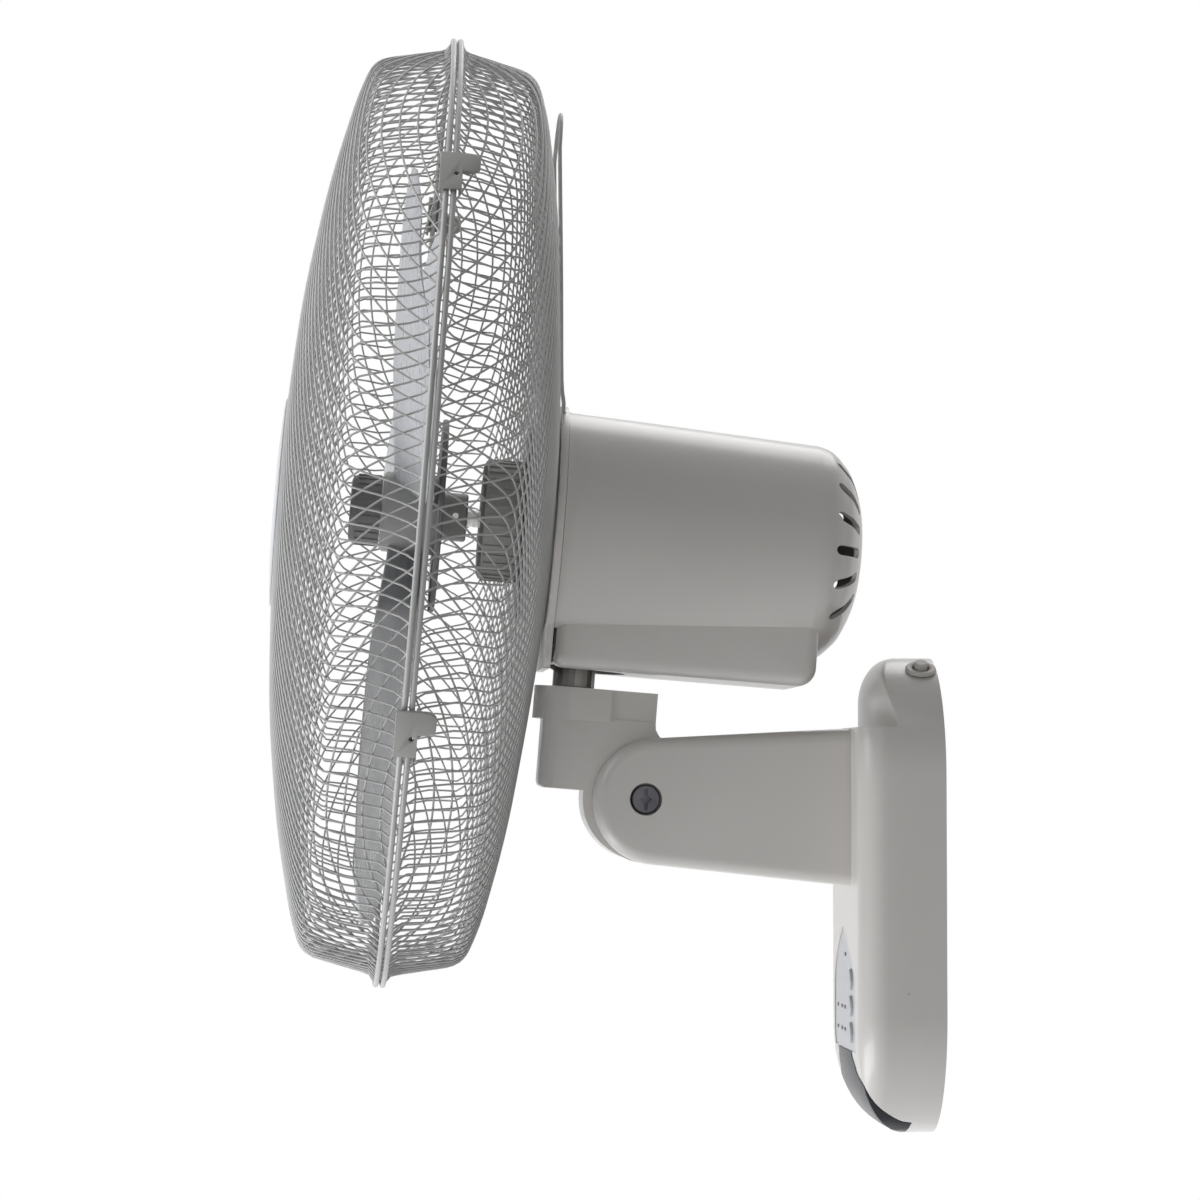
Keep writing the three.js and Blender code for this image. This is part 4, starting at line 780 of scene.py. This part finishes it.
def motor_housing():
    shell = lathe("housing_body", drum_profile(0, 67.4), 144, FROM_DRUM)
    carve(shell, [housing_box(0, 67.4)], "UNION")
    carve(shell, [lathe("hollow", drum_profile(2.2, 60), 96, FROM_DRUM), housing_box(2.2, 60)])
    vent = extruded(Y, arc(0, 46.5, 2.3, 0, 180, 8) + arc(0, 32.5, 2.3, 180, 360, 8), 188.5, 216)
    turns = [20 * (i + 0.5) for i in range(18)]
    slots = [piece("vent", *vent, FROM_DRUM @ Matrix.Rotation(math.radians(turn), 4, "Y"))
             for turn in turns if abs(turn - 180) > 35]
    wedge = [(-13, 66), (13, 66), (9, 90), (0, 126), (-9, 90)]
    lift = HEAD @ Matrix.Rotation(-0.0515, 4, "X")
    slots += [peg(Z, 24, -75, -60, 64, 0, 80.5, place=HEAD),
              piece("wedge", *extruded(Z, wedge, 56.6, 70), lift)]
    return carve(shell, slots, sharp=30)


def housing_collar():
    """The flat plate in front of the housing: a ring that runs down into a square foot."""
    half, r = 39.5, 60.2
    meet = math.degrees(math.asin(half / r))
    ring = arc(0, -DRUM_DROP, r, -90 + meet, 270 - meet, 96)
    outline = ring + arc(6 - half, -63, 6, 180, 270, 6) + arc(half - 6, -63, 6, 270, 360, 6)
    made = piece("housing_collar", *extruded(Y, outline, 63.8, 67.1), HEAD)
    carve(made, [peg(Y, 16, 50, 80, 48, place=HEAD)]
          + [peg(Z, 1.3, 44, 62, 12, x, 64.2, place=HEAD) for x in (-HOOP_HALF, HOOP_HALF)])
    return soft_edges(made, 0.8, 2, 40)


def blade_rings():
    """Cross sections of a blade from root to tip; edges in degrees, lift in millimetres."""
    radii = [15, 26, 40, 56, 75, 95, 115, 135, 155, 170, 182, 190, 194.6, 196]
    known = [16, 40, 75, 115, 155, 180, 191, 196]
    tables = ([-26, -27, -31, -35, -36, -31, -24, -12], [26, 27, 29, 30, 28, 22, 15, 4],
              [13, 15, 18, 19, 19, 17.5, 15, 11], [-5, -5.5, -4, -2, -1, 0, 2, 5])
    rings = []
    for r in radii:
        near = min(max(r, known[0]), known[-1])
        i = next(k for k in range(len(known) - 1) if near <= known[k + 1])
        share = (near - known[i]) / (known[i + 1] - known[i])
        lead, trail, front, back = (between(*four_round(table, i), share) for table in tables)
        thick = 2.0 if r < 190 else 2.0 * math.sqrt(max(0.04, 1 - ((r - 190) / 6) ** 2))
        top, under = [], []
        for t in spread(0, 1, 20):
            angle = math.radians(lead + (trail - lead) * t)
            ahead = back + (front - back) * t + 2.4 * math.sin(math.pi * t)
            body = thick * (0.35 + 0.65 * min(1.0, 8 * t, 8 * (1 - t)))
            x, z = r * math.sin(angle), -r * math.cos(angle)
            top.append((x, -ahead + (thick - body) / 2, z))
            under.append((x, -ahead + (thick + body) / 2, z))
        rings.append(top + under[::-1])
    return rings


def fan_blades():
    blade = loft(blade_rings())
    turns = [HEAD @ Matrix.Rotation(math.radians(-4 + 120 * i), 4, "Y") for i in range(3)]
    return joined("blades", *[piece("blade", *blade, turn) for turn in turns])


def ring_tree():
    """Copies of the base mesh at equal steps about Y."""
    tree = Tree("ring_of_copies", {"Count": 5, "Start": 0.0, "Step": 1.0, "Material": None})
    given = tree.given
    turn = tree.field(tree.add("InputIndex")) * given("Step") + given("Start")
    points = tree.add("Points", Count=given("Count"))
    copies = tree.add("InstanceOnPoints", Points=points, Instance=tree.start,
                      Rotation=tree.vector(0.0, turn, 0.0))
    return tree.finish(copies, material=given("Material"))


def around(name, base, count, look, start=0.0, step=None):
    """Copies of a piece in a ring about the fan axis, made by the ring tree."""
    values = {"Count": count, "Start": start, "Step": step or 2 * math.pi / count, "Material": looks[look]}
    return grow(name, base, bpy.data.node_groups["ring_of_copies"], values, SHARP)


def rib(x, y0, y1, z0, z1, width):
    return soft_edges(slab(-x, x, y0, y1, z0, z1), width)


def clip_shape():
    """A guard clip in its own place at the top of the rim: a saddle over both wires and a rounded tab."""
    r = RIM_R + RIM_WIRE
    saddle = [(-5, r - 2.8), (-5, r + 2), (5, r + 2), (5, r - 2.8), (3.7, r - 2.8), (3.7, r + 0.4),
              (-3.7, r + 0.4), (-3.7, r - 2.8)]
    body = piece("saddle", *extruded(X, saddle, -11, 11))
    tab = [(-11, 2), (0, 2), *arc(-5.5, 8, 5.5, 0, 180, 14)]
    carve(body, [piece("tab", *extruded(Z, [(x, min(y, 12.6)) for x, y in tab], r - 0.4, r + 2))], "UNION")
    carve(body, [peg(Z, 1.1, r - 2, r + 5, 16, 2, 2.4)])
    return soft_edges(body, 0.6)


def hoop():
    """The wire loop that stands on the collar behind the guard."""
    leg = [(64.2, 45), (64.1, 56), (62.2, 67), (58.6, 110), (55, 150), (53, HOOP_TOP)]
    rise = smooth_path([(HOOP_HALF, y, z) for y, z in leg], 3)
    bend = [(x, 52.6, z) for x, z in arc(0, HOOP_TOP, HOOP_HALF, 12, 168, 14)]
    points = [Vector(p) for p in rise + bend + [(-x, y, z) for x, y, z in rise[::-1]]]
    rings = []
    for i, p in enumerate(points):
        before, _, after, _ = four_round(points, i)
        along = (after - before).normalized()
        side = Vector((0, 1, 0)).cross(along).normalized()
        other = along.cross(side)
        rings.append([tuple(p + side * c + other * s) for c, s in arc(0, 0, 1, 0, 324, 9)])
    return piece("hoop", *loft(rings), HEAD)


# ------------------------------------------------------------------ settings
def length(name, description, default, low, high, digits):
    return bpy.props.FloatProperty(name=name, description=description, default=default, min=low, max=high,
                                   unit="LENGTH", precision=digits)


def turn_of(name, description, degrees):
    return bpy.props.FloatProperty(name=name, description=description, default=math.radians(degrees),
                                   subtype="ANGLE")


def colour_of(name, description, default):
    return bpy.props.FloatVectorProperty(name=name, description=description, default=default, min=0, max=1,
                                         subtype="COLOR", size=3)


class WallFanSizes(bpy.types.PropertyGroup):
    """Sizes that a user would change."""
    mesh_pitch: length("Mesh pitch", "Distance between the guard's wires", 0.0064, 0.003, 0.02, 4)
    mesh_wire: length("Mesh wire radius", "Radius of the guard's fine wires", 0.0005, 0.0002, 0.002, 5)
    mesh_turn: turn_of("Mesh turn", "How far the wire pattern is turned in the rim", 5)
    clip_step: turn_of("Clip step", "Turn between the two clips on the +X side", 66)
    far_clip_step: turn_of("Far clip step", "Turn between the two clips on the -X side", 75.5)


class WallFanColours(bpy.types.PropertyGroup):
    """Base colours of the finishes."""
    shell: colour_of("Shell", "Moulded shell plastic", (0.60, 0.577, 0.553))
    face: colour_of("Panel", "Control panel and badge", (0.49, 0.496, 0.52))
    wire: colour_of("Wire", "Coated guard wire", (0.40, 0.397, 0.39))


class Builder:
    """What the operators share."""
    bl_options = {"REGISTER", "UNDO"}


# ------------------------------------------------------------------ operators
class WALLFAN_OT_base(Builder, bpy.types.Operator):
    """Build the wall base: shell with its arm, panel, window, buttons and small parts"""
    bl_idname = "wallfan.base"
    bl_label = "Wall base"

    def execute(self, context):
        hand_over(base_shell(), "wall_base", "shell_plastic", "shell", "base_shell")
        panel = carve(skin(from_front(panel_outline()), 1.2, 0.45), button_drills())
        panel.name = "panel"
        hand_over(panel, "wall_base", "panel_plastic", "face", "control_panel")
        window = soft_edges(skin(chin_prism(), 2.1), 0.2, 1, 40)
        window.name = "window"
        hand_over(window, "wall_base", "window_plastic", "window", "receiver_window")
        lights = []
        for x, z in ((7, -28), (-23, -53), (-6, -53), (5, -53), (-23, -63.4), (-6, -63.4), (5, -63.4)):
            face = lower_front(x, z)
            dome = [(0, 0.4), (0.9, 0.4), (0.9, -0.05), (0.6, -0.18), (0, -0.22)]
            lights.append(lathe("light", [(r, face + y) for r, y in dome], 20, Matrix.Translation((x, 0, z))))
        hand_over(joined("indicator_lights", *lights), "wall_base", "panel_plastic", "clip")
        for name, z in BUTTONS.items():
            face = lower_front(BUTTON_X, z)
            stem = [(0, 4.4), (5.75, 4.4), (5.75, 3.4), (4.75, 3.4), (4.75, -0.5), (4.45, -0.8), (3.6, -0.95),
                    (1.6, -0.75), (0, -0.68)]
            place = Matrix.Translation((BUTTON_X, 0, z))
            made = lathe(f"{name}_cap", [(r, face + y) for r, y in stem], 64, place)
            hand_over(made, f"{name}_button", "panel_plastic", "face", f"button_{name}")
        stand = SHOULDER @ Matrix.Rotation(math.radians(90), 4, "X")
        gland = lathe("gland", [(4.2, -6), (5.4, -6), (5.4, 0.3), (7.2, 0.3), (7.2, 1.3), (6.6, 1.9),
                                (4.9, 2.0), (4.2, 1.5), (4.2, -6)], 64, stand)
        hand_over(gland, "wall_base", "inner_plastic", "inner", "cord_gland")
        plug = lathe("plug", [(0, -5), (3.9, -5), (3.9, -3), (3.1, -3), (3.1, 4.1), (2.7, 4.6), (0, 4.6)], 48,
                     stand)
        hand_over(plug, "wall_base", "inner_plastic", "inner", "gland_plug")
        at = Matrix.Translation((0, *PIVOT))
        bolt = lathe("bolt", [(0, -27.5), (4, -27.5), (4, 24.3), (6.9, 24.3), (6.9, 27.2), (6.2, 28),
                              (0, 28)], 64, at @ Matrix.Rotation(math.radians(-90), 4, "Z"))
        askew = at @ Matrix.Rotation(math.radians(45), 4, "X")
        carve(bolt, [slab(26.2, 30, -0.7, 0.7, -4.8, 4.8, place=at),
                     slab(25.2, 30, -1.9, 1.9, -1.9, 1.9, place=askew)])
        soft_edges(bolt, 0.2, sharp=30)
        # The bolt's near-black steel is painted shade: it stands for the shadow in the recess round its head.
        hand_over(bolt, "wall_base", "dark_steel", "blued", "pivot_bolt")
        return {"FINISHED"}


class WALLFAN_OT_neck(Builder, bpy.types.Operator):
    """Build the neck that tilts between the cheeks"""
    bl_idname = "wallfan.neck"
    bl_label = "Neck"

    def execute(self, context):
        hand_over(neck_body(), "neck", "shell_plastic", "shell", "neck_bracket")
        return {"FINISHED"}


class WALLFAN_OT_housing(Builder, bpy.types.Operator):
    """Build the motor housing with its vents and the collar in front of it"""
    bl_idname = "wallfan.housing"
    bl_label = "Motor housing"

    def execute(self, context):
        hand_over(motor_housing(), "head", "shell_plastic", "shell", "motor_housing")
        hand_over(housing_collar(), "head", "shell_plastic", "shell", "housing_flange")
        plate = lathe("clamp", [(10.3, 49.3), (44.2, 49.3), (45.5, 49.9), (47.2, 60.1), (50.5, 60.1),
                                (50.5, 61.3), (45.8, 61.3), (44.1, 51.2), (10.3, 51.2), (10.3, 49.3)], 96)
        hand_over(plate, "head", "dark_steel", "dark", "clamp_plate")
        nut = lathe("nut", [(6, 30), (26, 30), (28.2, 31.2), (28.4, 49), (10.1, 49), (10.1, 34.3), (6, 34.3),
                            (6, 30)], 96)
        ribs = around("nut_ribs", rib(0.9, 32, 48.6, 27.6, 29, 0.3), 36, "nut")
        hand_over(joined("guard_nut_cap", nut, ribs), "head", "nut_plastic", "nut", "guard_nut")
        return {"FINISHED"}


class WALLFAN_OT_guards(Builder, bpy.types.Operator):
    """Draw the wire mesh of both guards, the clips, the badge and the wire hoop"""
    bl_idname = "wallfan.guards"
    bl_label = "Guards"

    def execute(self, context):
        sizes = context.scene.wall_fan_sizes
        tree = bpy.data.node_groups["wire_mesh_guard"]
        for name, dish, side, hole, node in (("front_mesh", FRONT_DISH, -1.0, 0.0, "front_guard"),
                                             ("rear_mesh", REAR_DISH, 1.0, 0.044, "rear_guard")):
            base, face, wall = dish_curve(name + "_dish", dish, 7)
            values = {"Pitch": sizes.mesh_pitch, "Wire radius": sizes.mesh_wire, "Turn": sizes.mesh_turn,
                      "Rim radius": RIM_R * 0.001, "Face length": face, "Wall length": wall, "Hub hole": hole,
                      "Side": side, "Hub offset": dish[1][1] * 0.001, "Material": looks["wire"]}
            made = grow(name, base, tree, values)
            hand_over(made, "head", "guard_wire", "wire", node)
        pairs = [around(name, clip_shape(), 2, "clip", math.radians(90 - start), step)
                 for name, start, step in (("near_clips", CLIP_NEAR, sizes.clip_step),
                                           ("far_clips", CLIP_FAR, sizes.far_clip_step))]
        hand_over(joined("guard_clips", *pairs), "head", "clip_plastic", "clip",
                  *[f"guard_clip_{i}" for i in range(1, 5)])
        hand_over(hoop(), "head", "guard_wire", "wire", "wire_hoop")
        dome = [(0, 2.5), (29, 2.2), (44, 1.25), (48.6, 0.85), (49.3, 0.4), (49.3, 0), (0, 0)]
        badge = lathe("badge", [(r, -BADGE_SEAT - y) for r, y in dome], 128)
        hand_over(badge, "head", "panel_plastic", "face", "centre_badge")
        return {"FINISHED"}


class WALLFAN_OT_rotor(Builder, bpy.types.Operator):
    """Build the blades, the hub and the cap that clamps it"""
    bl_idname = "wallfan.rotor"
    bl_label = "Rotor"

    def execute(self, context):
        hand_over(fan_blades(), "rotor", "blade_plastic", "blade", "fan_blades")
        hub = lathe("hub", [(4.1, -17), (17.5, -17), (19, -15.5), (19, 8.6), (17.6, 10), (11.4, 10),
                            (11.4, 22.8), (10.6, 23.6), (4.1, 23.6), (4.1, -17)], 96)
        carve(hub, [peg(X, 1.6, -12, 12, 24, 0, 18, place=HEAD)])
        hand_over(hub, "rotor", "blade_plastic", "hub")
        plate = lathe("hub_plate", [(11, 8.7), (45.2, 8.7), (45.9, 9.3), (45.9, 11), (45.4, 11.5), (11, 11.5),
                                    (11, 8.7)], 128)
        hand_over(plate, "rotor", "blade_plastic", "plate")
        cap = lathe("cap", [(0, -32), (13, -32), (15.6, -31.2), (16.4, -29), (16.6, -17.3), (4.1, -17.3),
                            (4.1, -26), (0, -26)], 96)
        ribs = around("cap_ribs", rib(0.6, -29, -18, 16, 17, 0.25), 24, "cap")
        hand_over(joined("cap_body", cap, ribs), "rotor", "dark_plastic", "cap", "spinner_cap")
        return {"FINISHED"}


CAD_LOOKS = {
    "plated": ["wall_bracket", *[f"cover_screw_{i}" for i in range(1, 5)], "lock_screw", "board_screw_1",
               "board_screw_2", "pivot_nut", "swing_motor", "motor_shaft", "front_bearing", "rear_bearing",
               "drive_pin"],
    "steel": ["swivel_post", "swivel_cradle"],
    "core": ["stator_core", "rotor_core"],
    "cast": ["front_bell", "rear_bell"],
    "copper": ["front_winding", "rear_winding"],
    "brass": ["swing_pinion"],
    "board": ["control_board"],
    "dark": [*[f"tact_switch_{i}" for i in range(1, 4)], "infrared_receiver", "run_capacitor"],
    "inner": ["back_cover", "terminal_block", "swing_gear"],
}


class WALLFAN_OT_frame_finish(Builder, bpy.types.Operator):
    """Give the CAD parts that stay in view their finishes"""
    bl_idname = "wallfan.frame_finish"
    bl_label = "Inner parts"

    def execute(self, context):
        for look, names in CAD_LOOKS.items():
            for name in names:
                nodes[name].data.materials.clear()
                nodes[name].data.materials.append(looks[look])
        return {"FINISHED"}


def in_view(tree):
    """One where a ray comes from the camera, straight, mirrored or through glass, and zero elsewhere."""
    path = add_node(tree, "LightPath")
    seen = Field(tree, path.outputs["Is Camera Ray"]).do("MAXIMUM", path.outputs["Is Glossy Ray"])
    return seen.do("MAXIMUM", path.outputs["Is Transmission Ray"])


def floor_paint():
    """Pale paint that is white to the camera and in mirrors, and lights the rest no more than paint does."""
    look = Look("floor_paint")
    tone = look.mottle((0.85, 0.85, 0.85), 0.99, 1.0, look.noise(6, 3))
    return look.set(Base_Color=tone, Roughness=0.9, Emission_Color=(1, 1, 1, 1),
                    Emission_Strength=in_view(look.tree))


CAMERA_AIM = (0.0, -0.1582, 0.140)
CAMERA_DISTANCE, CAMERA_LENS = 1.96, 123.6
CAMERA_AZIMUTH, CAMERA_ELEVATION = 86.3, -2.7
KEY_POWER, BOUNCE_POWER, FILL_POWER, RIM_POWER, AMBIENT = 62.0, 24.0, 2.0, 14.0, 0.25
FLOOR_Z, FLOOR_HALF = -1400, 6000
DAYLIGHT, WARM = (0.96, 0.98, 1.0), (1.0, 0.985, 0.96)


def lamp(name, place, aim, size, power, colour=(1, 1, 1)):
    """A rectangular area light that looks at a point; metres and watts."""
    data = bpy.data.lights.new(name, "AREA")
    data.shape, data.size, data.size_y = "RECTANGLE", *size
    data.energy, data.color = power, colour
    made = placed(name, data)
    made.location = place
    made.rotation_euler = (Vector(aim) - Vector(place)).to_track_quat("-Z", "Y").to_euler()


class WALLFAN_OT_stage(Builder, bpy.types.Operator):
    """Set up the camera, the lights, the floor and the backdrop"""
    bl_idname = "wallfan.stage"
    bl_label = "Stage"

    def execute(self, context):
        scene = bpy.context.scene
        scene.view_settings.view_transform = "Standard"
        camera = bpy.data.cameras.new("camera")
        camera.lens, camera.sensor_width, camera.clip_start, camera.clip_end = CAMERA_LENS, 36, 0.05, 60
        view = placed("camera", camera)
        a, e = math.radians(CAMERA_AZIMUTH), math.radians(CAMERA_ELEVATION)
        back = Vector((math.sin(a) * math.cos(e), -math.cos(a) * math.cos(e), math.sin(e)))
        view.location = Vector(CAMERA_AIM) + back * CAMERA_DISTANCE
        view.rotation_euler = (-back).to_track_quat("-Z", "Y").to_euler()
        scene.camera = view
        corners = [(x * FLOOR_HALF, y * FLOOR_HALF, FLOOR_Z) for x, y in ((-1, -1), (1, -1), (1, 1), (-1, 1))]
        floor = piece("floor", corners, [(0, 1, 2, 3)])
        floor.data.materials.append(floor_paint())
        world = bpy.data.worlds.new("studio")
        world.use_nodes = True
        ground = world.node_tree.nodes["Background"]
        ground.inputs["Color"].default_value = (1, 1, 1, 1)
        feed(world.node_tree, ground.inputs["Strength"], in_view(world.node_tree) * (1 - AMBIENT) + AMBIENT)
        scene.world = world
        lamp("key", (0.3, -2.6, 1.4), (0, -0.1, 0.1), (1.6, 2.2), KEY_POWER, DAYLIGHT)
        lamp("bounce", (0.3, -1.6, -1.1), (0, -0.05, 0.08), (1.6, 1.0), BOUNCE_POWER, DAYLIGHT)
        lamp("fill", (2.4, 0.4, 0.2), (0, -0.15, 0.12), (1.8, 1.8), FILL_POWER, WARM)
        lamp("rim", (-1.6, 0.6, 2.0), (0, -0.1, 0.15), (1.4, 1.4), RIM_POWER)
        return {"FINISHED"}


class WALLFAN_PT_panel(bpy.types.Panel):
    """The fan's builders and settings"""
    bl_label = "Wall fan"
    bl_idname = "WALLFAN_PT_panel"
    bl_space_type = "VIEW_3D"
    bl_region_type = "UI"
    bl_category = "Wall fan"

    def draw(self, context):
        for group in (context.scene.wall_fan_sizes, context.scene.wall_fan_colours):
            for name in group.__annotations__:
                self.layout.prop(group, name)
        for step in STEPS:
            self.layout.operator(step.bl_idname)


STEPS = (WALLFAN_OT_stage, WALLFAN_OT_frame_finish, WALLFAN_OT_base, WALLFAN_OT_neck, WALLFAN_OT_housing,
         WALLFAN_OT_guards, WALLFAN_OT_rotor)
CLASSES = (WallFanSizes, WallFanColours, *STEPS, WALLFAN_PT_panel)


def register():
    for kind in CLASSES:
        bpy.utils.register_class(kind)
    bpy.types.Scene.wall_fan_sizes = bpy.props.PointerProperty(type=WallFanSizes)
    bpy.types.Scene.wall_fan_colours = bpy.props.PointerProperty(type=WallFanColours)


def unregister():
    del bpy.types.Scene.wall_fan_sizes
    del bpy.types.Scene.wall_fan_colours
    for kind in reversed(CLASSES):
        bpy.utils.unregister_class(kind)


def main():
    register()
    make_looks()
    wire_mesh_tree()
    ring_tree()
    for step in STEPS:
        group, name = step.bl_idname.split(".")
        getattr(getattr(bpy.ops, group), name)()


if __name__ == "__main__":
    main()
